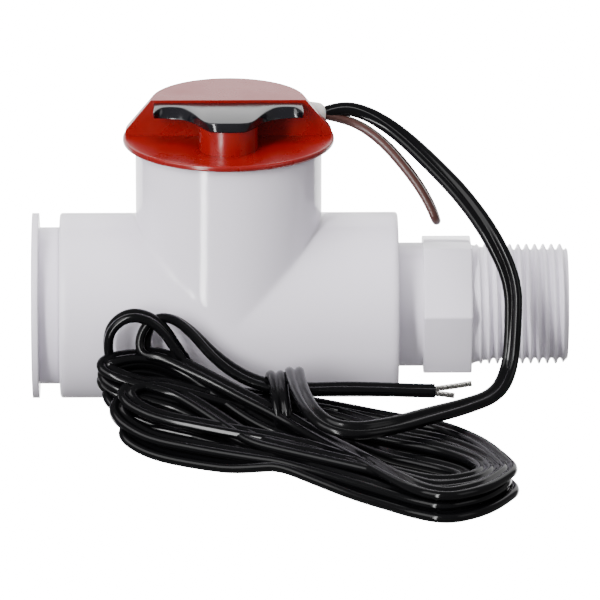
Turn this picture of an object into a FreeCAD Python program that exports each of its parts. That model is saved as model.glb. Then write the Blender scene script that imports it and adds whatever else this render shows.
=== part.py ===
import FreeCAD, Part
import math
import os

import Sketcher

# A plastic tee with a paddle that swings in the flow. The run lies along X, the inlet is at -X,
# the switch cap stands up along Z, and the cap's grip faces -Y. Millimetres throughout.
# The origin is on the surface that the tee stands on, under the middle of its length.

SIZES = [
    ("hub_radius", 20.2, "outside of the tee's three arms"),
    ("arm_length", 36.8, "branch axis to the face of either run arm"),
    ("branch_rise", 37.3, "run axis to the top face of the branch"),
    ("hub_edge", 0.7, "rounding of the tee's outer edges"),
    ("waterway_radius", 13.3, "bore through the run and up the branch"),
    ("socket_radius", 16.75, "bore of the three hubs"),
    ("socket_depth", 20, "depth of the two run hubs"),
    ("branch_depth", 22, "depth of the branch hub"),
    ("mouth_bevel", 0.8, "lead-in at each hub's mouth"),
    ("cement_gap", 0.05, "radial gap of a cemented joint"),
    ("collar_radius", 17.1, "neck of the inlet bushing outside the tee"),
    ("collar_length", 4.5, "length of that neck"),
    ("flange_radius", 20.2, "outside of the inlet bushing's flange"),
    ("flange_thickness", 1.5, "thickness of that flange"),
    ("pipe_socket_radius", 13.4, "socket for the inlet pipe"),
    ("pipe_socket_depth", 22, "depth of that socket"),
    ("inlet_bore_radius", 10.5, "waterway past the inlet socket"),
    ("neck_radius", 13.5, "spigot of the outlet adapter"),
    ("neck_length", 5.4, "spigot in the open between tee and hexagon"),
    ("neck_depth", 15, "spigot inside the reducing ring"),
    ("hex_flats", 27.5, "hexagon across its flats"),
    ("hex_length", 10.6, "hexagon along the run"),
    ("hex_turn", 7, "turn of the hexagon about the run, in degrees"),
    ("thread_radius", 13.1, "outside of the taper thread"),
    ("thread_length", 21, "threaded length"),
    ("thread_lead", 1.2, "bevel where the thread starts"),
    ("thread_depth", 1.2, "crest to root of the thread"),
    ("outlet_bore_radius", 9.8, "waterway through the outlet adapter"),
    ("cap_radius", 22.9, "outside of the cap's rim"),
    ("rim_height", 1.3, "thickness of the cap's rim"),
    ("rim_edge", 0.45, "rounding of the rim"),
    ("cone_radius", 22.35, "foot of the cone behind the grip"),
    ("cone_foot", 2.5, "height of that foot over the branch"),
    ("plateau_radius", 16.8, "flat top of the cone"),
    ("plateau_rise", 9.3, "height of the flat top over the branch"),
    ("column_half", 6.3, "half width of the column under the grip's tab"),
    ("column_reach", 15.8, "how far the column stands out from the wall"),
    ("plug_length", 20, "how far the plug reaches into the branch"),
    ("plug_clearance", 0.3, "radial gap between plug and branch hub"),
    ("plug_wall", 2.2, "wall of the plug"),
    ("roof_thickness", 1.2, "wall over the switch chamber"),
    ("ring_wire", 0.75, "radius of a sealing ring's section"),
    ("ring_side_play", 0.2, "room each side of a ring in its groove"),
    ("ring_gap", 0.08, "radial running gap of a sealing ring"),
    ("upper_ring_drop", 5, "branch top to the upper ring"),
    ("ring_pitch", 5.5, "upper ring to lower ring"),
    ("grip_thickness", 2.1, "thickness of the grip plate"),
    ("grip_drop", 0.55, "flat top down to the grip's upper face"),
    ("grip_half", 16.9, "half width of the grip at the wall"),
    ("grip_tip_half", 16.3, "half width of the grip over its outer tips"),
    ("grip_tip_reach", 8.2, "reach of the grip's outer tips"),
    ("grip_shoulder", 8.6, "middle plane to where the tab starts"),
    ("grip_tab_half", 4.5, "half width of the grip's middle tab"),
    ("grip_tab_reach", 15.9, "reach of the grip's middle tab"),
    ("scoop_side", 12.4, "middle plane to the middle of a finger scoop"),
    ("scoop_reach", 4.1, "reach of the scoop's back on the upper face"),
    ("scoop_radius", 3.6, "radius across a finger scoop"),
    ("scoop_slope", 44, "slope of a finger scoop, in degrees"),
    ("grip_tab_round", 2.0, "rounding of the tab's corners in plan"),
    ("grip_edge", 0.5, "rounding of the grip's front edge"),
    ("seal_turn", 23, "direction of the cable seal, in degrees from +X"),
    ("seal_radius", 2.9, "outside of the cable seal"),
    ("seal_height", 5.0, "branch top to the cable seal's axis"),
    ("seal_inset", 0.2, "rim's outside back to the seal's outer face"),
    ("seal_length", 4.3, "seal outside its step"),
    ("seal_taper", 0.8, "bevel of the seal's outer face"),
    ("stem_radius", 1.7, "cable passage behind the seal"),
    ("stem_length", 4.5, "length of the seal's stem in that passage"),
    ("floor_thickness", 2.5, "disc that closes the plug"),
    ("fit_gap", 0.05, "gap of pieces pressed or potted together"),
    ("pivot_drop", 5.6, "disc's underside to the paddle's pivot"),
    ("ear_thickness", 2.2, "each ear of the yoke"),
    ("ear_radius", 2.9, "rounded end of each ear"),
    ("ear_gap", 0.3, "side play between ear and paddle arm"),
    ("pin_radius", 1.0, "pivot pin"),
    ("pin_clearance", 0.06, "radial running gap on the pin"),
    ("pin_overhang", 1.2, "pin beyond each ear"),
    ("clip_radius", 2.3, "outside of a pin clip"),
    ("clip_thickness", 0.6, "thickness of a pin clip"),
    ("knuckle_half", 4.0, "half width of the paddle arm's knuckle"),
    ("arm_half", 3.0, "half width of the paddle arm below it"),
    ("arm_thickness", 1.8, "thickness of the paddle arm along the flow"),
    ("arm_drop", 16, "pivot to the arm's lower end"),
    ("knuckle_radius", 2.6, "arm's knuckle round the pin"),
    ("spring_room", 2.3, "width given up to the return spring"),
    ("horn_half", 2.5, "half length of the magnet horn, each way"),
    ("horn_shift", 1.1, "middle plane to the middle of the horn"),
    ("horn_rise", 4.2, "pivot to the top of the magnet horn"),
    ("magnet_radius", 1.75, "magnet in the horn"),
    ("magnet_height", 1.6, "height of the magnet"),
    ("blade_half", 9.5, "half width of the paddle blade"),
    ("blade_thickness", 0.8, "thickness of the paddle blade"),
    ("blade_top_drop", 5.0, "pivot to the blade's upper edge"),
    ("blade_centre_drop", 11.9, "pivot to the centre of the blade's round end"),
    ("blade_corner", 2.5, "rounding of the blade's upper corners"),
    ("rivet_radius", 0.9, "shank of a blade rivet"),
    ("rivet_head", 1.6, "head of a blade rivet"),
    ("rivet_head_height", 0.7, "height of that head"),
    ("rivet_drop", 8.0, "pivot to the upper rivet"),
    ("rivet_pitch", 5.0, "upper rivet to lower rivet"),
    ("spring_coil", 1.75, "mean radius of the return spring's coil"),
    ("spring_wire", 0.25, "radius of its wire"),
    ("spring_turns", 3, "turns of its coil"),
    ("spring_leg", 5.2, "length of its legs"),
    ("board_length", 22, "circuit board along the run"),
    ("board_width", 9, "circuit board across the run"),
    ("board_thickness", 1.2, "thickness of the circuit board"),
    ("reed_radius", 1.2, "glass of the reed switch"),
    ("reed_length", 13, "length of that glass"),
    ("reed_wall", 0.35, "wall of that glass"),
    ("reed_lead", 0.3, "radius of the reed's wire leads"),
    ("reed_lap", 1.0, "overlap of the two reeds past the middle"),
    ("reed_width", 1.2, "width of each flat reed"),
    ("reed_thickness", 0.2, "thickness of each flat reed"),
    ("reed_gap", 0.12, "gap between the open reeds"),
    ("reed_lead_reach", 9.0, "reed's middle to where its leads turn down"),
    ("reed_offset", 2.3, "reed's place across the board"),
    ("sleeve_radius", 1.2, "shrink sleeve on a wire splice"),
    ("sleeve_length", 8, "length of a shrink sleeve"),
    ("sleeve_offset", 1.6, "middle of the two sleeves off the middle plane"),
    ("sleeve_pitch", 2.6, "one sleeve to the other across the board"),
    ("lead_radius", 1.5, "round stand-in for the twin lead"),
    ("hank_thickness", 6.0, "thickness of the flat hank"),
    ("wire_end_radius", 0.55, "bare tinned end of a conductor"),
    ("wire_end_length", 4.0, "length of the shorter bare end"),
    ("jumper_radius", 0.95, "single wire of the jumper loop"),
]

doc = FreeCAD.newDocument("FlowSwitch")
sheet = doc.addObject("Spreadsheet::Sheet", "Sizes")
for row, (alias, size, meaning) in enumerate(SIZES, start=1):
    sheet.set(f"A{row}", alias)
    sheet.set(f"B{row}", str(size))
    sheet.setAlias(f"B{row}", alias)
    sheet.set(f"C{row}", meaning)
doc.recompute()

# Places that several pieces share, as expressions on the sheet. Heights are over the run axis.
RUN_HEIGHT = "Sizes.hub_radius"
LEFT_REACH = "(Sizes.arm_length + Sizes.collar_length + Sizes.flange_thickness)"
RIGHT_REACH = "(Sizes.arm_length + Sizes.neck_length + Sizes.hex_length + Sizes.thread_length)"
THREAD_TURNS = 11
BRANCH_X = f"({LEFT_REACH} - {RIGHT_REACH}) / 2"
RIM_TOP = "(Sizes.branch_rise + Sizes.rim_height)"
PLUG_END = "(Sizes.branch_rise - Sizes.plug_length)"
PLUG_RADIUS = "(Sizes.socket_radius - Sizes.plug_clearance)"
CHAMBER_RADIUS = f"({PLUG_RADIUS} - Sizes.plug_wall)"
CHAMBER_TOP = f"({RIM_TOP} - Sizes.roof_thickness)"
RING_CENTRE = "(Sizes.socket_radius - Sizes.ring_gap - Sizes.ring_wire)"
UPPER_RING = "(Sizes.branch_rise - Sizes.upper_ring_drop)"
LOWER_RING = f"({UPPER_RING} - Sizes.ring_pitch)"
PLATEAU = "(Sizes.branch_rise + Sizes.plateau_rise)"
GRIP_TOP = f"({PLATEAU} - Sizes.grip_drop)"
GRIP_UNDER = f"({GRIP_TOP} - Sizes.grip_thickness)"
SEAL_LEVEL = "(Sizes.branch_rise + Sizes.seal_height)"
SEAL_REACH = "(Sizes.cap_radius - Sizes.seal_inset)"
SEAL_STEP = f"({SEAL_REACH} - Sizes.seal_length)"
WELL_PLACE = f"({SEAL_STEP} - Sizes.stem_length - Sizes.stem_radius)"
FLOOR_TOP = f"({PLUG_END} + Sizes.floor_thickness)"
PIVOT = f"({PLUG_END} - Sizes.pivot_drop)"
EAR_INNER = "(Sizes.knuckle_half + Sizes.ear_gap)"
EAR_OUTER = f"({EAR_INNER} + Sizes.ear_thickness)"
BOARD_TOP = f"({FLOOR_TOP} + Sizes.fit_gap + Sizes.board_thickness)"
SPIGOT_RADIUS = "(Sizes.socket_radius - Sizes.cement_gap)"
CUT = "1"

subparts = []


def amount(expression):
    """The value of an expression on the sheet."""
    return float(sheet.evalExpression(expression))


def place(part, rise=RUN_HEIGHT, along=BRANCH_X):
    """Puts a sub-part's own origin on the branch axis at the run axis, or where it is told."""
    part.setExpression("Placement.Base.x", along)
    part.setExpression("Placement.Base.z", rise)
    subparts.append(part)
    return part


def new_body(name):
    body = doc.addObject("PartDesign::Body", name)
    body.Label = name
    return place(body)


def feature(name, shape, rise=RUN_HEIGHT, along=BRANCH_X, across="0"):
    """A sub-part whose shape comes from Part's own functions."""
    part = doc.addObject("Part::Feature", name)
    part.Label = name
    part.Shape = shape
    part.setExpression("Placement.Base.y", across)
    return place(part, rise, along)


def new_sketch(body, plane):
    """A sketch on one of the body's origin planes."""
    sketch = body.newObject("Sketcher::SketchObject", f"{body.Name}_sketch")
    role = next(part for part in body.Origin.OriginFeatures if part.Role == f"{plane}_Plane")
    sketch.AttachmentSupport = [(role, "")]
    sketch.MapMode = "FlatFace"
    return sketch


def hold(sketch, kind, first, first_end, second, second_end, expression):
    """A distance from one point to another that follows an expression."""
    size = amount(expression)
    number = sketch.addConstraint(
        Sketcher.Constraint(kind, first, first_end, second, second_end, size)
    )
    sketch.setExpression(f"Constraints[{number}]", expression)


def outline(body, plane, corners):
    """A closed outline through corners, each a pair of expressions."""
    sketch = new_sketch(body, plane)
    points = [FreeCAD.Vector(amount(across), amount(up), 0) for across, up in corners]
    for start, end in zip(points, points[1:] + points[:1]):
        sketch.addGeometry(Part.LineSegment(start, end))
    for number, (across, up) in enumerate(corners):
        following = (number + 1) % len(corners)
        sketch.addConstraint(Sketcher.Constraint("Coincident", number, 2, following, 1))
        hold(sketch, "DistanceX", -1, 1, number, 1, across)
        hold(sketch, "DistanceY", -1, 1, number, 1, up)
    return sketch


def circle(body, plane, across, up, radius):
    """A circle whose centre and radius are expressions."""
    sketch = new_sketch(body, plane)
    centre = FreeCAD.Vector(amount(across), amount(up), 0)
    sketch.addGeometry(Part.Circle(centre, FreeCAD.Vector(0, 0, 1), amount(radius)))
    hold(sketch, "DistanceX", -1, 1, 0, 3, across)
    hold(sketch, "DistanceY", -1, 1, 0, 3, up)
    number = sketch.addConstraint(Sketcher.Constraint("Radius", 0, amount(radius)))
    sketch.setExpression(f"Constraints[{number}]", radius)
    return sketch


def turn(body, kind, sketch, axis, angle=360):
    """A Revolution or a Groove about the sketch's own H_Axis or V_Axis."""
    feature = body.newObject(f"PartDesign::{kind}", f"{body.Name}_{kind.lower()}")
    feature.Profile = sketch
    feature.ReferenceAxis = (sketch, [axis])
    feature.Angle = angle
    doc.recompute()
    return feature


def pull(body, kind, sketch, length, symmetric=False, back=False):
    """A Pad or a Pocket of a sketch."""
    feature = body.newObject(f"PartDesign::{kind}", f"{body.Name}_{kind.lower()}")
    feature.Profile = sketch
    feature.setExpression("Length", length)
    feature.SideType = "Symmetric" if symmetric else "One side"
    feature.Reversed = back
    doc.recompute()
    return feature


def rounded(body, edges, radius):
    """A fillet on the numbered edges of the body as it stands."""
    before = body.Tip
    fillet = body.newObject("PartDesign::Fillet", f"{body.Name}_fillet")
    fillet.Base = (before, edges)
    fillet.setExpression("Radius", radius)
    doc.recompute()
    return fillet


def rims(body, radius, height=None, along=None):
    """The names of the circular edges of a radius, at a height or at a place along X."""
    shape = body.Tip.Shape
    found = []
    for number, edge in enumerate(shape.Edges, start=1):
        curve = edge.Curve
        if not isinstance(curve, Part.Circle) or abs(curve.Radius - amount(radius)) > 1e-6:
            continue
        if height is not None and abs(curve.Center.z - amount(height)) > 1e-6:
            continue
        if along is not None and abs(curve.Center.x - amount(along)) > 1e-6:
            continue
        found.append(f"Edge{number}")
    return found


def ring_profile(inner, outer, start, end):
    """A box in a half section: two radii and two places along the axis."""
    return [(start, inner), (end, inner), (end, outer), (start, outer)]


# ---------------------------------------------------------------- tee and its fittings


def tee_body():
    """Run and branch as turned solids, then the waterway and the three hub sockets."""
    body = new_body("tee_body")
    run = outline(
        body, "XZ", ring_profile("0", "Sizes.hub_radius", "-Sizes.arm_length", "Sizes.arm_length")
    )
    turn(body, "Revolution", run, "H_Axis")
    branch = outline(
        body,
        "XZ",
        [("0", "0"), ("Sizes.hub_radius", "0"), ("Sizes.hub_radius", "Sizes.branch_rise"),
         ("0", "Sizes.branch_rise")],
    )
    turn(body, "Revolution", branch, "V_Axis")
    edges = rims(body, "Sizes.hub_radius", height="Sizes.branch_rise")
    edges += rims(body, "Sizes.hub_radius", along="Sizes.arm_length")
    edges += rims(body, "Sizes.hub_radius", along="-Sizes.arm_length")
    rounded(body, edges, "Sizes.hub_edge")
    shoulder = "(Sizes.arm_length - Sizes.socket_depth)"
    mouth = "(Sizes.socket_radius + Sizes.mouth_bevel)"
    half = [
        (shoulder, "Sizes.waterway_radius"),
        (shoulder, "Sizes.socket_radius"),
        ("Sizes.arm_length - Sizes.mouth_bevel", "Sizes.socket_radius"),
        ("Sizes.arm_length", mouth),
        (f"Sizes.arm_length + {CUT}", mouth),
        (f"Sizes.arm_length + {CUT}", "0"),
    ]
    mirrored = [(f"-({along})", radius) for along, radius in reversed(half)]
    turn(body, "Groove", outline(body, "XZ", half + mirrored), "H_Axis")
    ledge = "(Sizes.branch_rise - Sizes.branch_depth)"
    bore = [
        ("0", "0"),
        ("Sizes.waterway_radius", "0"),
        ("Sizes.waterway_radius", ledge),
        ("Sizes.socket_radius", ledge),
        ("Sizes.socket_radius", "Sizes.branch_rise - Sizes.mouth_bevel"),
        (mouth, "Sizes.branch_rise"),
        (mouth, f"Sizes.branch_rise + {CUT}"),
        ("0", f"Sizes.branch_rise + {CUT}"),
    ]
    turn(body, "Groove", outline(body, "XZ", bore), "V_Axis")


def inlet_bushing():
    """Flanged reducing bushing: its spigot is cemented into the left hub."""
    body = new_body("inlet_bushing")
    face = f"-{LEFT_REACH}"
    flange = f"-({LEFT_REACH} - Sizes.flange_thickness)"
    end = "-(Sizes.arm_length - Sizes.socket_depth)"
    stop = f"(-{LEFT_REACH} + Sizes.pipe_socket_depth)"
    profile = [
        (face, "Sizes.pipe_socket_radius"),
        (face, "Sizes.flange_radius"),
        (flange, "Sizes.flange_radius"),
        (flange, "Sizes.collar_radius"),
        ("-Sizes.arm_length", "Sizes.collar_radius"),
        ("-Sizes.arm_length", SPIGOT_RADIUS),
        (end, SPIGOT_RADIUS),
        (end, "Sizes.inlet_bore_radius"),
        (stop, "Sizes.inlet_bore_radius"),
        (stop, "Sizes.pipe_socket_radius"),
    ]
    turn(body, "Revolution", outline(body, "XZ", profile), "H_Axis")


def outlet_reducer():
    """Plain reducing ring cemented flush into the right hub."""
    body = new_body("outlet_reducer")
    inner_end = "(Sizes.arm_length - Sizes.socket_depth)"
    seat = "(Sizes.arm_length - Sizes.neck_depth)"
    bore = "(Sizes.neck_radius + Sizes.cement_gap)"
    profile = [
        (inner_end, "Sizes.inlet_bore_radius"),
        (inner_end, SPIGOT_RADIUS),
        ("Sizes.arm_length", SPIGOT_RADIUS),
        ("Sizes.arm_length", bore),
        (seat, bore),
        (seat, "Sizes.inlet_bore_radius"),
    ]
    turn(body, "Revolution", outline(body, "XZ", profile), "H_Axis")


def thread_grooves(start):
    """Profile of every second turn of the thread, as V grooves with a land between them."""
    pitch = f"(Sizes.thread_length - Sizes.thread_lead) / {THREAD_TURNS}"
    corners = []
    for turns in range(1, THREAD_TURNS - 1, 2):
        corners += [
            (f"{start} + {turns - 0.5} * {pitch}", "Sizes.thread_radius"),
            (f"{start} + {turns} * {pitch}", "Sizes.thread_radius - Sizes.thread_depth"),
            (f"{start} + {turns + 0.5} * {pitch}", "Sizes.thread_radius"),
        ]
    return corners


def outlet_adapter():
    """Spigot, hexagon and threaded end of the outlet, with the waterway through them."""
    body = new_body("outlet_adapter")
    start = "(Sizes.arm_length - Sizes.neck_depth)"
    hex_start = "(Sizes.arm_length + Sizes.neck_length)"
    hex_end = f"({hex_start} + Sizes.hex_length)"
    bevel = "(Sizes.thread_radius - Sizes.thread_lead)"
    profile = [
        (start, "0"),
        (start, "Sizes.neck_radius"),
        (hex_start, "Sizes.neck_radius"),
        (hex_end, "Sizes.neck_radius"),
        (hex_end, "Sizes.thread_radius"),
        *thread_grooves(hex_end),
        (f"{RIGHT_REACH} - Sizes.thread_lead", "Sizes.thread_radius"),
        (RIGHT_REACH, bevel),
        (RIGHT_REACH, "0"),
    ]
    turn(body, "Revolution", outline(body, "XZ", profile), "H_Axis")
    corner = "Sizes.hex_flats / sqrt(3)"
    around = [f"(Sizes.hex_turn + {60 * number}) * 1 deg" for number in range(6)]
    flats = outline(
        body, "YZ", [(f"-{corner} * cos({angle})", f"{corner} * sin({angle})") for angle in around]
    )
    flats.setExpression("AttachmentOffset.Base.z", hex_start)
    pull(body, "Pad", flats, "Sizes.hex_length")
    bore = outline(
        body,
        "XZ",
        ring_profile("0", "Sizes.outlet_bore_radius", f"{start} - {CUT}", f"{RIGHT_REACH} + {CUT}"),
    )
    turn(body, "Groove", bore, "H_Axis")


# ---------------------------------------------------------------- switch cap and grip


def level_hole(body, radius, start, length, level):
    """A round hole along the cable seal's direction, from a place off the branch axis."""
    turned = "Sizes.seal_turn * 1 deg"
    hole = body.newObject("PartDesign::SubtractiveCylinder", f"{body.Name}_hole")
    hole.Placement.Rotation = FreeCAD.Rotation(FreeCAD.Vector(0, 1, 0), 90)
    hole.setExpression("Radius", radius)
    hole.setExpression("Height", length)
    hole.setExpression("Placement.Base.x", f"({start}) * cos({turned})")
    hole.setExpression("Placement.Base.y", f"({start}) * sin({turned})")
    hole.setExpression("Placement.Base.z", level)
    hole.setExpression("Placement.Rotation.Axis.x", f"-sin({turned})")
    hole.setExpression("Placement.Rotation.Axis.y", f"cos({turned})")
    doc.recompute()
    return hole


def plug_shell():
    """Hollow plug below the cap, with a groove for each sealing ring."""
    body = new_body("plug_shell")
    groove = f"({RING_CENTRE} - Sizes.ring_wire - Sizes.fit_gap)"
    half_groove = "(Sizes.ring_wire + Sizes.ring_side_play)"
    shell = [(CHAMBER_RADIUS, PLUG_END), (PLUG_RADIUS, PLUG_END)]
    for level in (LOWER_RING, UPPER_RING):
        shell += [
            (PLUG_RADIUS, f"{level} - {half_groove}"),
            (groove, f"{level} - {half_groove}"),
            (groove, f"{level} + {half_groove}"),
            (PLUG_RADIUS, f"{level} + {half_groove}"),
        ]
    shell += [(PLUG_RADIUS, CHAMBER_TOP), (CHAMBER_RADIUS, CHAMBER_TOP)]
    turn(body, "Revolution", outline(body, "XZ", shell), "V_Axis")


def switch_cap():
    """Rim over a seat for the plug, half cone with its flat top, and column under the grip."""
    body = new_body("switch_cap")
    disc = [
        (f"{PLUG_RADIUS} + Sizes.fit_gap", "Sizes.branch_rise"),
        ("Sizes.cap_radius", "Sizes.branch_rise"),
        ("Sizes.cap_radius", RIM_TOP),
        ("0", RIM_TOP),
        ("0", CHAMBER_TOP),
        (f"{PLUG_RADIUS} + Sizes.fit_gap", CHAMBER_TOP),
    ]
    turn(body, "Revolution", outline(body, "XZ", disc), "V_Axis")
    edges = rims(body, "Sizes.cap_radius", height=RIM_TOP)
    edges += rims(body, "Sizes.cap_radius", height="Sizes.branch_rise")
    rounded(body, edges, "Sizes.rim_edge")
    slope = [
        ("0", CHAMBER_TOP),
        ("Sizes.cone_radius", CHAMBER_TOP),
        ("Sizes.cone_radius", "Sizes.branch_rise + Sizes.cone_foot"),
        ("Sizes.plateau_radius", PLATEAU),
        ("0", PLATEAU),
    ]
    turn(body, "Revolution", outline(body, "XZ", slope), "V_Axis", angle=180)
    side = "(Sizes.column_reach - Sizes.column_half)"
    block = outline(
        body,
        "XY",
        [("-Sizes.column_half", CUT), ("-Sizes.column_half", f"-{side}"),
         ("Sizes.column_half", f"-{side}"), ("Sizes.column_half", CUT)],
    )
    nose = circle(body, "XY", "0", f"-{side}", "Sizes.column_half")
    for sketch in (block, nose):
        sketch.setExpression("AttachmentOffset.Base.z", CHAMBER_TOP)
        pull(body, "Pad", sketch, f"{GRIP_UNDER} - {CHAMBER_TOP}")
    pocket_radius = "Sizes.seal_radius + Sizes.fit_gap"
    level_hole(body, pocket_radius, SEAL_STEP, "Sizes.cap_radius", SEAL_LEVEL)
    level_hole(body, "Sizes.stem_radius", WELL_PLACE, "Sizes.cap_radius / 2", SEAL_LEVEL)
    well = body.newObject("PartDesign::SubtractiveCylinder", "switch_cap_well")
    well.setExpression("Radius", "Sizes.stem_radius")
    well.setExpression("Height", f"{SEAL_LEVEL} - {CHAMBER_TOP} + {CUT}")
    well.setExpression("Placement.Base.x", f"{WELL_PLACE} * cos(Sizes.seal_turn * 1 deg)")
    well.setExpression("Placement.Base.y", f"{WELL_PLACE} * sin(Sizes.seal_turn * 1 deg)")
    well.setExpression("Placement.Base.z", f"{CHAMBER_TOP} - {CUT}")
    doc.recompute()


def sealing_ring(name, level):
    """One rubber ring in its groove round the plug."""
    ring = doc.addObject("Part::Torus", name)
    ring.Label = name
    ring.setExpression("Radius1", RING_CENTRE)
    ring.setExpression("Radius2", "Sizes.ring_wire")
    place(ring, rise=f"{RUN_HEIGHT} + {level}")


def grip_plate():
    """Thumb grip: a plate with a middle tab, and a sloping finger scoop in each half."""
    thickness, round_by = amount("Sizes.grip_thickness"), amount("Sizes.grip_tab_round")
    tip, tip_reach = amount("Sizes.grip_tip_half"), amount("Sizes.grip_tip_reach")
    tab, tab_reach = amount("Sizes.grip_tab_half"), amount("Sizes.grip_tab_reach")
    right = [
        (amount("Sizes.grip_half"), 0), (tip, -tip_reach),
        (amount("Sizes.grip_shoulder"), -tip_reach), (tab, -tab_reach),
    ]
    plan = right + [(-across, ahead) for across, ahead in reversed(right)]
    rim = Part.makePolygon([FreeCAD.Vector(*place, 0) for place in plan + plan[:1]])
    plate = Part.Face(rim).extrude(FreeCAD.Vector(0, 0, thickness))
    corners = [
        edge for edge in plate.Edges
        if abs(edge.tangentAt(edge.FirstParameter).z) > 0.9
        and abs(edge.CenterOfMass.y + tab_reach) < 1e-6
    ]
    plate = plate.makeFillet(round_by, corners)
    front_edges = [
        edge for edge in plate.Edges
        if abs(edge.tangentAt(edge.FirstParameter).z) < 0.1 and edge.CenterOfMass.y < -1e-3
    ]
    plate = plate.makeFillet(amount("Sizes.grip_edge"), front_edges)
    radius, slope = amount("Sizes.scoop_radius"), math.radians(amount("Sizes.scoop_slope"))
    down = FreeCAD.Vector(0, -math.cos(slope), -math.sin(slope))
    for way in (1, -1):
        middle = FreeCAD.Vector(
            way * amount("Sizes.scoop_side"),
            -amount("Sizes.scoop_reach") - radius * math.sin(slope),
            thickness + radius * math.cos(slope),
        )
        scoop = Part.makeCylinder(radius, 4 * tab_reach, middle - down * 2 * tab_reach, down)
        plate = plate.cut(scoop)
    feature("grip_plate", plate, rise=f"{RUN_HEIGHT} + {GRIP_UNDER}")


def cable_seal():
    """Stepped grommet in the cone where the wires come out, turned to their direction."""
    body = new_body("cable_seal")
    profile = [
        (f"{SEAL_STEP} - Sizes.stem_length", "0"),
        (f"{SEAL_STEP} - Sizes.stem_length", "Sizes.stem_radius - Sizes.fit_gap"),
        (SEAL_STEP, "Sizes.stem_radius - Sizes.fit_gap"),
        (SEAL_STEP, "Sizes.seal_radius"),
        (f"{SEAL_REACH} - Sizes.seal_taper", "Sizes.seal_radius"),
        (SEAL_REACH, "Sizes.seal_radius - Sizes.seal_taper / 2"),
        (SEAL_REACH, "0"),
    ]
    turn(body, "Revolution", outline(body, "XZ", profile), "H_Axis")
    body.setExpression("Placement.Base.z", f"{RUN_HEIGHT} + {SEAL_LEVEL}")
    body.setExpression("Placement.Rotation.Angle", "Sizes.seal_turn * 1 deg")


# ---------------------------------------------------------------- inside the plug


def paddle_yoke():
    """Disc that closes the plug, with two ears below it for the pivot pin."""
    body = new_body("paddle_yoke")
    disc = outline(
        body,
        "XZ",
        [("0", PLUG_END), (f"{CHAMBER_RADIUS} - Sizes.fit_gap", PLUG_END),
         (f"{CHAMBER_RADIUS} - Sizes.fit_gap", FLOOR_TOP), ("0", FLOOR_TOP)],
    )
    turn(body, "Revolution", disc, "V_Axis")
    above = f"({PLUG_END} + Sizes.floor_thickness / 2)"
    ears = outline(
        body,
        "XZ",
        [("-Sizes.ear_radius", PIVOT), ("Sizes.ear_radius", PIVOT),
         ("Sizes.ear_radius", above), ("-Sizes.ear_radius", above)],
    )
    ends = circle(body, "XZ", "0", PIVOT, "Sizes.ear_radius")
    for sketch in (ears, ends):
        pull(body, "Pad", sketch, f"2 * {EAR_OUTER}", symmetric=True)
    low = f"({PIVOT} - Sizes.ear_radius - {CUT})"
    wide = f"(Sizes.ear_radius + {CUT})"
    gap = outline(
        body, "XZ", [(f"-{wide}", low), (wide, low), (wide, PLUG_END), (f"-{wide}", PLUG_END)]
    )
    pull(body, "Pocket", gap, f"2 * {EAR_INNER}", symmetric=True)
    hole = circle(body, "XZ", "0", PIVOT, "Sizes.pin_radius + Sizes.fit_gap")
    pull(body, "Pocket", hole, f"2 * {EAR_OUTER} + {CUT}", symmetric=True)


def pivot_pin():
    """Stainless pin through both ears."""
    body = new_body("pivot_pin")
    section = circle(body, "XZ", "0", PIVOT, "Sizes.pin_radius")
    pull(body, "Pad", section, f"2 * ({EAR_OUTER} + Sizes.pin_overhang)", symmetric=True)


def pin_clips():
    """A push-on clip at either end of the pin."""
    outer, bore = amount("Sizes.clip_radius"), amount("Sizes.pin_radius + Sizes.fit_gap")
    thick = amount("Sizes.clip_thickness")
    clips = []
    for way in (1, -1):
        start = FreeCAD.Vector(0, way * amount(f"{EAR_OUTER} + Sizes.fit_gap"), 0)
        along = FreeCAD.Vector(0, way, 0)
        disc = Part.makeCylinder(outer, thick, start, along)
        hole = Part.makeCylinder(bore, thick, start, along)
        clips.append(disc.cut(hole))
    feature("pin_clips", Part.makeCompound(clips), rise=f"{RUN_HEIGHT} + {PIVOT}")


def circuit_board():
    """Small board on the disc that the reed switch and the splices lie on."""
    body = new_body("circuit_board")
    half, side = "Sizes.board_length / 2", "Sizes.board_width / 2"
    flat = outline(
        body,
        "XY",
        [(f"-{half}", f"-{side}"), (half, f"-{side}"), (half, side), (f"-{half}", side)],
    )
    flat.setExpression("AttachmentOffset.Base.z", f"{FLOOR_TOP} + Sizes.fit_gap")
    pull(body, "Pad", flat, "Sizes.board_thickness")


def reed_glass():
    """Glass capsule, drawn closed round its two leads."""
    body = new_body("reed_glass")
    half = "Sizes.reed_length / 2"
    inner_half = "(Sizes.reed_length / 2 - 4 * Sizes.reed_wall)"
    bore = "(Sizes.reed_radius - Sizes.reed_wall)"
    profile = [
        (f"-{half}", "Sizes.reed_lead"),
        (f"-{half}", "Sizes.reed_radius - Sizes.reed_wall"),
        (f"-({half} - Sizes.reed_wall)", "Sizes.reed_radius"),
        (f"{half} - Sizes.reed_wall", "Sizes.reed_radius"),
        (half, "Sizes.reed_radius - Sizes.reed_wall"),
        (half, "Sizes.reed_lead"),
        (inner_half, "Sizes.reed_lead"),
        (inner_half, bore),
        (f"-{inner_half}", bore),
        (f"-{inner_half}", "Sizes.reed_lead"),
    ]
    turn(body, "Revolution", outline(body, "XZ", profile), "H_Axis")
    body.setExpression("Placement.Base.y", "Sizes.reed_offset")
    body.setExpression("Placement.Base.z", f"{RUN_HEIGHT} + {BOARD_TOP} + Sizes.reed_radius")


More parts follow.
